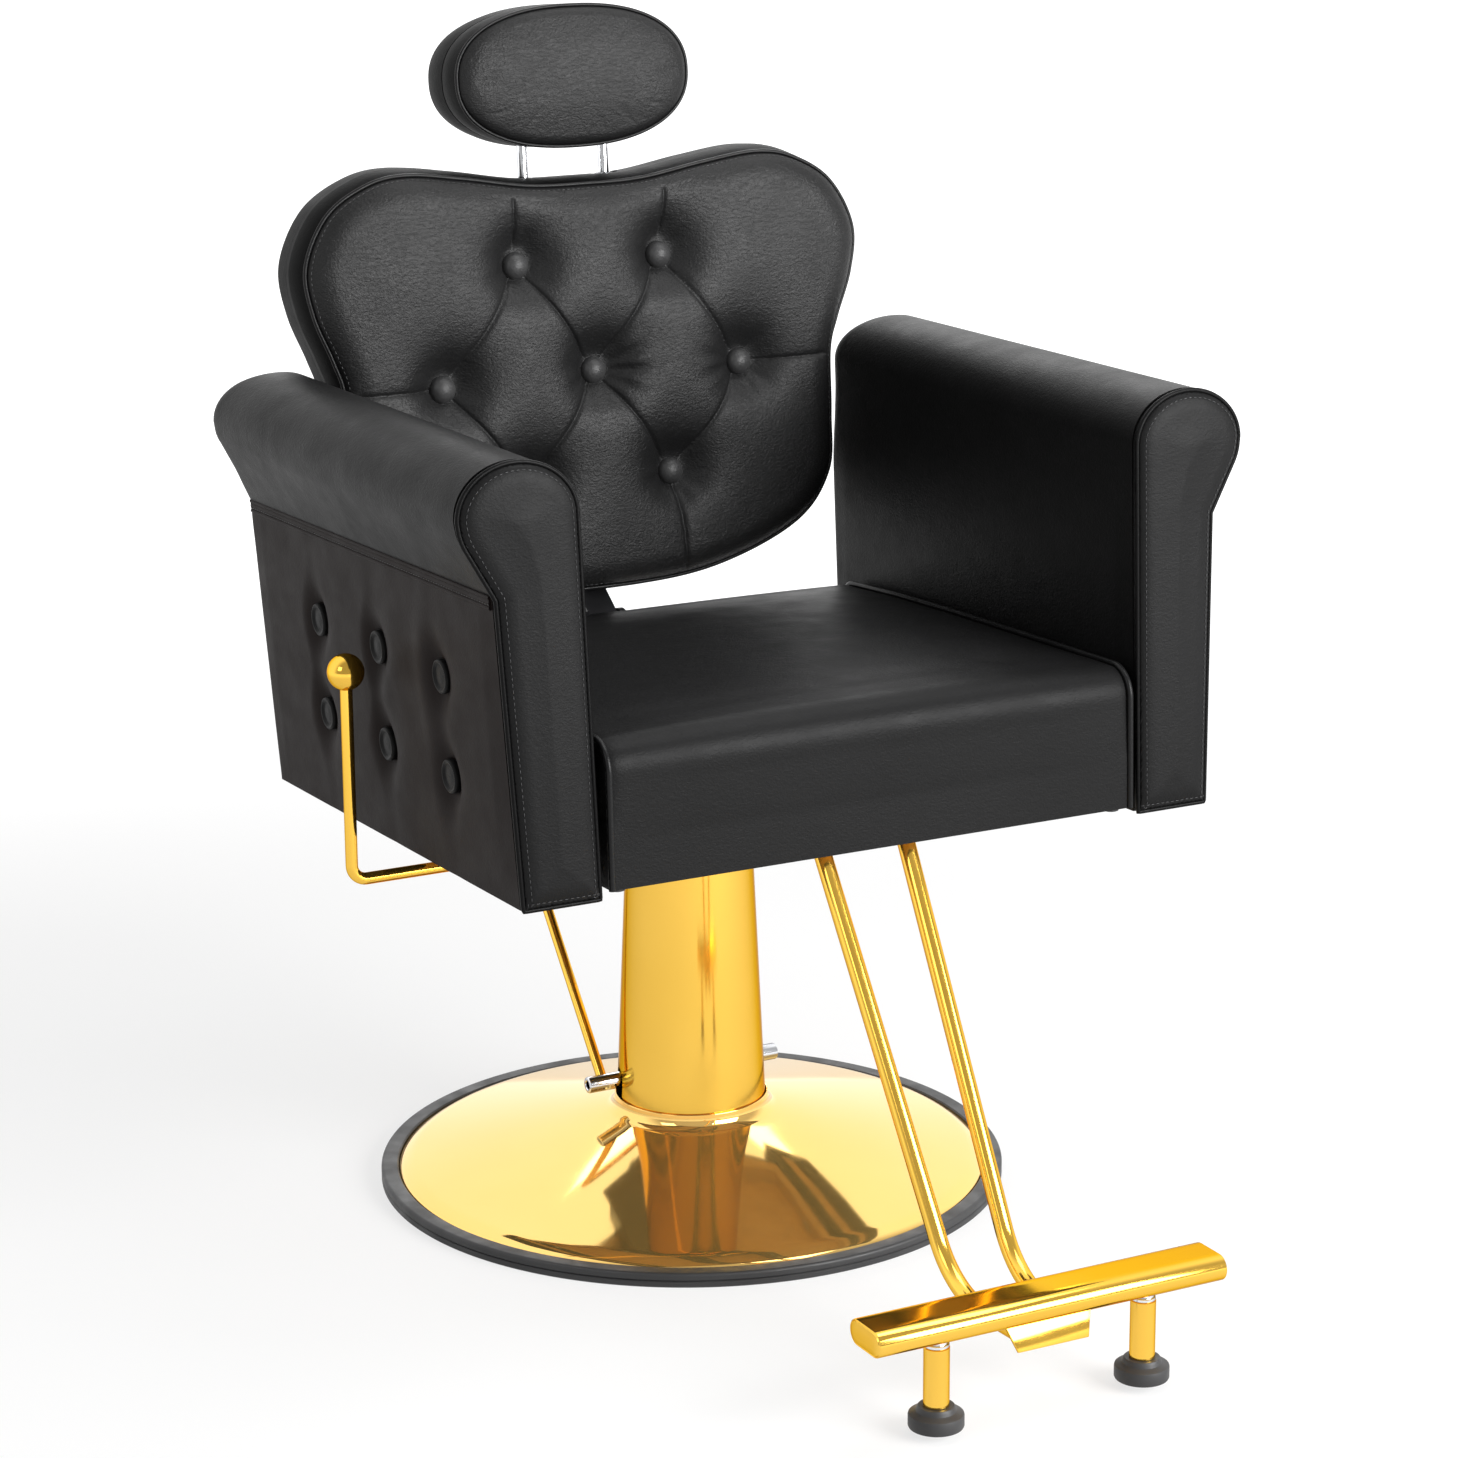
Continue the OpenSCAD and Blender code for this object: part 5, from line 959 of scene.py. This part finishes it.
def by_seam(t, drop, lift):
    # a point at share t of the arm's depth, drop below the outer seam and lift off the panel
    seam = seam_height(t) - drop
    return SEAM_X + (seam - SEAM_Z) * math.tan(FLARE) + lift, float(arm_depth(np.array(seam), t)), seam


along_arm = np.linspace(0.004, 0.985, 150)
welts = [cord([by_seam(t, drop, 0.0008) for t in along_arm], WELT_R, (1, 0, 0), 8, closed=False)
         for drop in (0.0, 0.0088)]
band_profile = ((0.0004, 0.0), (0.0012, 0.0016), (0.0046, 0.0023), (0.0078, 0.0016), (0.0084, 0.0),
                (0.0084, -0.002), (0.0004, -0.002))
band = [[by_seam(t, drop, lift) for drop, lift in band_profile] for t in along_arm]
parts = [skin(w) for w in welts + [band]] + [skin(mirrored(w)) for w in welts + [band]]
# the double welt wears the same lighter, browner copy of the leather: painted light
hand_over(piece("arm_double_welt", parts, lit_side_leather, 60), "seat", "black_leather")

thread = finish_of("black_thread", (300, 2), (0.022, 0.022, 0.023), (0.040, 0.040, 0.042), (500, 2),
                   (0.35, 0.6), [((2600, 2), 0.0001, 0.5)])

sewing = bpy.data.node_groups.new("sewing", "GeometryNodeTree")
sewing.interface.new_socket("Lines", in_out="INPUT", socket_type="NodeSocketGeometry")
knobs = {label: sewing.interface.new_socket(label, in_out="INPUT", socket_type=kind).identifier
         for label, kind in (("Spacing", "NodeSocketFloat"), ("Radius", "NodeSocketFloat"),
                             ("Shape", "NodeSocketVector"), ("Thread", "NodeSocketMaterial"))}
sewing.interface.new_socket("Stitches", in_out="OUTPUT", socket_type="NodeSocketGeometry")
given = add_node(sewing, "NodeGroupInput")
to_curve = add_node(sewing, "GeometryNodeMeshToCurve")
spaced = add_node(sewing, "GeometryNodeResampleCurve", mode="LENGTH")
bead = add_node(sewing, "GeometryNodeMeshUVSphere", Segments=8, Rings=6)
drawn = add_node(sewing, "GeometryNodeTransform")
along = add_node(sewing, "GeometryNodeInputTangent")
turned_to = add_node(sewing, "FunctionNodeAlignRotationToVector", axis="Z")
placed = add_node(sewing, "GeometryNodeInstanceOnPoints")
real = add_node(sewing, "GeometryNodeRealizeInstances")
coloured = add_node(sewing, "GeometryNodeSetMaterial")
done = add_node(sewing, "NodeGroupOutput")
for source, out, target, into in (
        (given, "Lines", to_curve, 0), (to_curve, 0, spaced, "Curve"), (given, "Spacing", spaced, "Length"),
        (given, "Radius", bead, "Radius"), (bead, "Mesh", drawn, "Geometry"),
        (given, "Shape", drawn, "Scale"), (along, 0, turned_to, "Vector"),
        (spaced, 0, placed, "Points"), (drawn, 0, placed, "Instance"),
        (turned_to, 0, placed, "Rotation"), (placed, 0, real, 0), (real, 0, coloured, "Geometry"),
        (given, "Thread", coloured, "Material"), (coloured, 0, done, 0)):
    wire(sewing, source.outputs[out], target.inputs[into])
STITCH_STEP, STITCH_L, STITCH_R, STITCH_RISE = 0.0052, 0.0034, 0.00034, 0.0003


def sewn(name, lines):
    # a row of stitches along each line of points
    points, edges = [], []
    for line in lines:
        start = len(points)
        points += [tuple(q) for q in line]
        edges += [(start + k, start + k + 1) for k in range(len(line) - 1)]
    mesh = bpy.data.meshes.new(name)
    mesh.from_pydata(points, edges, [])
    made = add_object(name, mesh)
    rule = made.modifiers.new("sewing", "NODES")
    rule.node_group = sewing
    rule[knobs["Spacing"]], rule[knobs["Radius"]] = STITCH_STEP, STITCH_R
    rule[knobs["Shape"]], rule[knobs["Thread"]] = (1.0, 1.0, STITCH_L / 2 / STITCH_R), thread
    fresh = settled(made)
    fresh.polygons.foreach_set("use_smooth", [True] * len(fresh.polygons))
    return made


def seam_row(place, outline, inset, count, face, rise):
    # the line of a seam: drawn in by inset, on the pad's face, and put in place
    line = evenly(offset_line(outline, inset), count, closed=True)
    depth = face(line[:, 0], line[:, 1], 0) + rise
    return place([[(x, y, z) for (x, z), y in zip(line, depth)]])[0]


rows = [by_seam(t, 0.0058, 0.0024) for t in np.linspace(0.006, 0.98, 200)]
face_row = seam_row(on_facing, front_line, 0.0062, 500, facing_puff, -STITCH_RISE)
hand_over(sewn("arm_stitches", [rows, mirrored(rows), face_row, mirrored(face_row)]), "seat", "black_leather")

flat_buttons = []
for by, bz in BUTTON_SPOTS:
    centre = np.array([SEAM_X - (SEAM_Z - bz) * math.tan(FLARE), by, bz]) - 0.0012 * PANEL_OUT
    up = np.array([math.sin(FLARE), 0, math.cos(FLARE)])
    depth = np.array([0, 1.0, 0])
    profile = [(0.0004, 0.0004), (0.006, 0.0003), (0.0094, -0.0004), (0.0108, -0.0002), (0.0122, 0.0012),
               (0.0136, 0.0017), (0.0147, 0.0010), (0.0152, -0.0006), (0.0152, -0.0035), (0.0140, -0.0060),
               (0.0004, -0.0062)]
    flat_buttons.append([[centre + h * PANEL_OUT + r * (math.cos(a) * depth + math.sin(a) * up)
                          for r, h in profile] for a in around(44)])
hand_over(piece("arm_flat_buttons", [skin(b, looped=True) for b in flat_buttons]
                + [skin(mirrored(b), looped=True) for b in flat_buttons], leather, 70),
          "seat", "black_leather", "arm_buttons")

# ---------- back ----------
# Butterfly-shaped plywood board between two pads. The front pad is pulled in by seven domed
# buttons with folded pleats between them. A piping cord is sewn round its front edge.
BACK_Y, BACK_Z, RAKE, HALF_W, BACK_H = 0.1723, 0.543, math.radians(4.93), 0.291, 0.4085
BOARD, BOARD_T, BACK_T = 0.024, 0.014, 0.058
SPLIT = BOARD + BOARD_T / 2


def on_back(points):
    return turned(points, RAKE, (0, BACK_Y, BACK_Z))


def smooth_line(p, steps):
    # a smooth closed curve through the points
    p = np.asarray(p, float)
    a, b, c, d = np.roll(p, 1, 0), p, np.roll(p, -1, 0), np.roll(p, -2, 0)
    t = np.linspace(0, 1, steps, endpoint=False)[None, :, None]
    a, b, c, d = (q[:, None, :] for q in (a, b, c, d))
    square, cube = 2 * a - 5 * b + 4 * c - d, 3 * b - a - 3 * c + d
    return ((2 * b + (c - a) * t + square * t ** 2 + cube * t ** 3) / 2).reshape(-1, 2)


half = [(0.39, 0.014), (0.722, 0.097), (0.866, 0.212), (0.886, 0.357), (0.893, 0.51), (0.925, 0.588),
        (0.984, 0.698), (0.999, 0.808), (0.917, 0.92), (0.777, 0.982), (0.636, 1), (0.433, 0.983),
        (0.206, 0.957)]
marks = [(0, -0.004)] + half + [(0, 0.953)] + [(-x, z) for x, z in half[::-1]]
butterfly = smooth_line([(x * HALF_W, z * BACK_H) for x, z in marks], 24)
BACK_MIDDLE = (0.0, BACK_H * 0.52)
TUFTS = [(sx * HALF_W, sz * BACK_H) for sx, sz in (
    (0.261, 0.772), (-0.261, 0.772), (0.544, 0.501), (-0.544, 0.501), (0, 0.513), (0.267, 0.256),
    (-0.267, 0.256))]
CREST, TUFT_SEAT, BOW = 0.0195, 0.006, 0.18
HIGH, WIDE, MID, LOW = (0.0760, 0.3155), (0.1583, 0.2047), (0.0, 0.2095), (0.0777, 0.1046)


def across(spot):
    return -spot[0], spot[1]


# from button to button, or out to the piping: start, left bend, right bend, end
PLEATS = []
for start, left_bend, right_bend, end in (
        (HIGH, (-0.0830, 0.352), (0.0830, 0.352), (0.0800, 0.392)),
        (HIGH, (-0.1050, 0.262), (0.1120, 0.262), WIDE), (HIGH, (-0.0330, 0.268), (0.0400, 0.258), MID),
        (WIDE, (-0.1200, 0.166), (0.1220, 0.148), LOW), (MID, (-0.0340, 0.150), (0.0430, 0.166), LOW),
        (WIDE, (-0.2080, 0.2045), (0.2080, 0.2045), (0.2590, 0.206))):
    PLEATS += [(across(start), left_bend, across(end)), (start, right_bend, end)]
PLEATS += [(across(LOW), (-0.0800, 0.060), (-0.0860, 0.010)), (LOW, (0.0840, 0.060), (0.0850, 0.010))]


def pleat_field(x, z, start, bow, end):
    # signed distance to a bowed line and the share of its length
    t = np.linspace(0, 1, 61)[:, None]
    a, b, c = (np.array(q) for q in (start, bow, end))
    b = (a + c) / 2 + (b - (a + c) / 2) * BOW
    line = (1 - t) ** 2 * a + 2 * t * (1 - t) * (2 * b - (a + c) / 2) + t ** 2 * c
    best, side, share = np.full(x.shape, 9.0), np.zeros(x.shape), np.zeros(x.shape)
    for k in range(60):
        p, q = line[k], line[k + 1]
        d = q - p
        u = np.clip(((x - p[0]) * d[0] + (z - p[1]) * d[1]) / (d @ d), 0, 1)
        ox, oz = x - p[0] - u * d[0], z - p[1] - u * d[1]
        far = np.hypot(ox, oz)
        near = far < best
        best = np.where(near, far, best)
        side = np.where(near, np.sign(d[0] * oz - d[1] * ox) * far, side)
        share = np.where(near, (k + u) / 60, share)
    return best, side, share


def tufted(x, z, r):
    far = rim_distance(x, z, butterfly) - 0.003
    crown = 1 - np.exp(-np.clip(far, 0, 1) / 0.055)
    depth = 0.0005 - 0.0135 * quarter_round(far, 0.026) - 0.0075 * crown
    wells, wrinkles = np.zeros(x.shape), np.zeros(x.shape)
    for k, (tx, tz) in enumerate(TUFTS):
        rho = np.hypot(x - tx, z - tz)
        turn = np.arctan2(z - tz, x - tx)
        reach = rho * (1 - 0.17 * np.cos(turn - 1.15) * np.clip(rho / 0.012, 0, 1))
        wells += ((CREST + TUFT_SEAT + 0.0012) / (1 + (reach / 0.0305) ** 2.6) ** 1.3) ** 4
        ring = np.exp(-(((rho - 0.027) / 0.013) ** 2))
        folds = sum(np.cos(turn * m + k * 1.7 + m) * w for m, w in ((5, 0.5), (8, 0.6), (11, 0.4)))
        wrinkles += 0.0005 * folds * ring
        for lean, strength in ((0.1, 0.0015 if k == 4 else 0.0), (2.9, 0.0008 if k == 2 else 0.0)):
            lee = np.exp(-(np.abs(np.angle(np.exp(1j * (turn - lean)))) / 0.7) ** 2)
            wrinkles += strength * lee * np.exp(-(((rho - 0.036) / 0.016) ** 2)) * np.cos(turn * 13 + 0.6)
    pull = wells ** 0.25 + wrinkles
    for k, (start, bow, end) in enumerate(PLEATS):
        best, side, share = pleat_field(x, z, start, bow, end)
        open_end = k < 2 or k >= 10
        deep = 0.0040 * (1 - 0.75 * share) if open_end else 0.0036 + 0.0018 * np.cos(share * 2 * math.pi)
        fade = np.clip((1.0 - share) / 0.12, 0, 1) if open_end and k < 10 else 1.0
        off = np.hypot(x - start[0], z - start[1])
        if not open_end or k < 2:
            off = np.minimum(off, np.hypot(x - end[0], z - end[1]))
        calm = np.clip((off - 0.010) / 0.022, 0, 1)
        near = np.exp(-best / 0.0095) * np.exp(-(best / 0.05) ** 2) * calm
        crease = np.exp(-best / 0.0015) * np.clip((off - 0.010) / 0.006, 0, 1)
        pull += deep * fade * near + 0.0026 * fade * crease
        lap = np.tanh(side / 0.0010) * np.exp(-np.abs(side) / 0.006)
        pull += lap * (0.0006 if k % 2 else -0.0006) * fade * near
    pull *= np.clip(far / 0.012, 0, 1)
    return TUFT_SEAT - 0.0012 * np.log1p(np.exp((TUFT_SEAT - depth - pull) / 0.0012))


TUFTED_GRID, REAR_GRID, REAR_R = 372, 120, 0.016
front_pad = pad(butterfly, BACK_MIDDLE, TUFTED_GRID, tufted,
                [(PIPE, 0.0006), (PIPE * 0.6, 0.0030), (0.0008, 0.0050), (-0.0020, 0.0100), (-0.0042, 0.0180),
                 (-0.0054, 0.0250), (-0.0058, SPLIT - 0.0001), (0.012, SPLIT), (0.0122, BOARD + 0.0002)],
                lambda x, z, r: np.full_like(x, BOARD), hidden_back=True)
front_pad = (on_back(front_pad[0]), front_pad[1])
# the tufted face wears the lighter copy of the leather, painted light
back_front = piece("tufted_back_pad", [front_pad], lit_face_leather, 0)
two_leathers(back_front, TUFTED_GRID ** 2)
hand_over(back_front, "back", "black_leather", "back_cushion", fill=0.9)


def rear_swell(x, z, r):
    far = rim_distance(x, z, butterfly) - REAR_R
    return BACK_T + 0.0066 + 0.0058 * (1 - np.exp(-np.clip(far, 0, 1) / 0.05))


rear_edge = [(REAR_R - (REAR_R + 0.0055) * math.cos(a),
              BACK_T - REAR_R + 0.009 + (REAR_R - 0.0024) * math.sin(a))
             for a in np.radians(np.linspace(84, 0, 9))]
rear_pad = pad(butterfly, BACK_MIDDLE, REAR_GRID, rear_swell,
               rear_edge + [(-0.0058, SPLIT + 0.0001), (0.012, SPLIT), (0.0122, BOARD + BOARD_T - 0.0002)],
               lambda x, z, r: np.full_like(x, BOARD + BOARD_T))
rear_pad = (on_back(rear_pad[0]), rear_pad[1])
back_rear = piece("back_rear_pad", [rear_pad], leather, 50)
two_leathers(back_rear, REAR_GRID ** 2)
POST_X, POST_V, POST_LOW, GUIDE_W = 0.043, 0.046, 0.290, 0.3893


def post_rings(side, steps, count):
    # rings of (radius, height) round the line of one headrest post
    return on_back([[(side * POST_X + r * math.cos(a), POST_V + r * math.sin(a), w) for a in around(count)]
                    for r, w in steps])


cut(back_rear, block("slot_cutter", on_back, -0.0203, 0.0203, 0.024, 0.0433, -0.02, 0.1903))
for side in (-1, 1):
    cut(back_rear, block("slot_cutter", on_back, side * POST_X - 0.0083, side * POST_X + 0.0083,
                         0.024, 0.0543, 0.262, 0.5))
    hole = post_rings(side, ((0.0133, GUIDE_W), (0.0133, 0.45)), 40)
    cut(back_rear, piece("guide_cutter", [skin(hole)], leather))
hand_over(back_rear, "back", "black_leather", "back_rear", fill=0.8)


def piped(name, outline, inset, count, depth, radius):
    # a closed cord sewn round a pad of the back or the headrest
    line = evenly(offset_line(outline, inset), count, closed=True)
    rings = cord(on_back([[(x, depth, z) for x, z in line]])[0], radius, (0, 1, 0))
    return piece(name, [skin(rings, looped=True)], cord_leather, 0)


FRONT_CORD, REAR_CORD = 0.0020, 0.0018
hand_over(piped("back_piping_cord", butterfly, 0.0010, 640, 0.0008, FRONT_CORD),
          "back", "black_leather", "back_piping")
hand_over(piped("back_rear_cord", butterfly, REAR_R, 640, BACK_T + 0.0068, REAR_CORD),
          "back", "black_leather")
rear_row = seam_row(on_back, butterfly, REAR_R + 0.0045, 860, rear_swell, STITCH_RISE)
hand_over(sewn("back_rear_stitches", [rear_row]), "back", "black_leather")
front_row = seam_row(on_back, butterfly, 0.0050, 900, tufted, -STITCH_RISE)
hand_over(sewn("back_stitches", [front_row]), "back", "black_leather")

dome_line = [(0.0, -0.0084), (0.0019, -0.00834), (0.0038, -0.0080), (0.0072, -0.0069), (0.0102, -0.0049),
             (0.0122, -0.0022), (0.0131, 0.0008), (0.0132, 0.0030), (0.0125, 0.0050), (0.0106, 0.0060),
             (0.0, 0.0062)]
domes = [skin(on_back([[(tx + q * math.cos(a), TUFT_SEAT - 0.0030 + v, tz + q * math.sin(a))
                        for q, v in dome_line] for a in around(40)]), looped=True) for tx, tz in TUFTS]
# the buttons wear the lighter copy of the leather: painted light
hand_over(piece("back_domed_buttons", domes, lit_button_leather, 0, 1e-5),
          "back", "black_leather", "back_buttons")

# ---------- headrest ----------
# Oval cushion on two chromed posts that slide in sockets behind the back board. Crowned front
# panel with piping, a boxing strip with a seam round its middle, and a flatter rear panel.
HEAD_A, HEAD_B, HEAD_MIDDLE, HEAD_FRONT, HEAD_T = 0.1215, 0.0665, 0.4902, 0.0128, 0.070
HEAD_REAR, HEAD_POWER, HEAD_GRID = HEAD_FRONT + HEAD_T, 0.87, 96
turns = around(240)
oval = np.stack([HEAD_A * np.sign(np.cos(turns)) * np.abs(np.cos(turns)) ** HEAD_POWER,
                 HEAD_MIDDLE + HEAD_B * np.sign(np.sin(turns)) * np.abs(np.sin(turns)) ** HEAD_POWER], 1)


def head_face(x, z, r):
    far = rim_distance(x, z, oval) - 0.002
    return HEAD_FRONT + 0.0004 - 0.0105 * quarter_round(far, 0.030) - 0.0022 * np.clip(far / 0.055, 0, 1)


def head_rear(x, z, r):
    return HEAD_REAR - 0.0004 + 0.0055 * quarter_round(rim_distance(x, z, oval) - 0.002, 0.024)


cushion = pad(oval, (0.0, HEAD_MIDDLE), HEAD_GRID, head_face,
              [(PIPE * 0.8, HEAD_FRONT), (PIPE * 0.5, HEAD_FRONT + 0.003), (0.0008, HEAD_FRONT + 0.006),
               (-0.0010, HEAD_FRONT + 0.016), (-0.0012, HEAD_FRONT + 0.026), (-0.0004, 0.0448),
               (0.0012, 0.0458),
               (-0.0004, 0.0468), (-0.0012, 0.056), (-0.0010, 0.066), (0.0008, HEAD_REAR - 0.004),
               (0.0016, HEAD_REAR)],
              head_rear)
local = cushion[0]
# the headrest's face wears the lighter copy of the leather, painted light
headrest = piece("headrest_upholstery", [(on_back(local), cushion[1])], lit_face_leather, 0)
two_leathers(headrest, HEAD_GRID ** 2)
rim_far = rim_distance(local[:, 0], local[:, 2], oval)
held = np.clip(1 - (rim_far - 0.002) / 0.010, 0, 1)
held = np.maximum(held, np.where(local[:, 1] > 0.035, 1, 0))
puff(headrest, held, 3.0, 0.003)
for side in (-1, 1):
    hole = post_rings(side, ((0.0053, 0.40), (0.0053, 0.4892)), 32)
    cut(headrest, piece("post_cutter", [skin(hole)], leather))
hand_over(headrest, "headrest", "black_leather", "headrest_cushion", fill=0.9)
hand_over(piped("headrest_piping", oval, 0.0004, 300, HEAD_FRONT + 0.0006, REAR_CORD),
          "headrest", "black_leather")
post_steps = ((0.0040, POST_LOW), (0.005, POST_LOW + 0.001), (0.005, 0.4885))
hand_over(piece("chrome_posts", [skin(post_rings(side, post_steps, 32)) for side in (-1, 1)], chrome, 30),
          "headrest", "chrome", "headrest_posts")
profile = [(0.00508, 0.262), (0.008, 0.262)] + [(r, GUIDE_W + rise) for r, rise in (
    (0.008, 0), (0.0126, 0), (0.013, 0.0006), (0.013, 0.003), (0.0122, 0.004), (0.0092, 0.0042),
    (0.0088, 0.0058), (0.0082, 0.006), (0.00508, 0.006))]
guides = [skin(on_back(lathe(profile, 40, (side * POST_X, POST_V, 0))), looped=True) for side in (-1, 1)]
hand_over(piece("chrome_guides", guides, chrome, 30), "back", "chrome", "post_fittings")
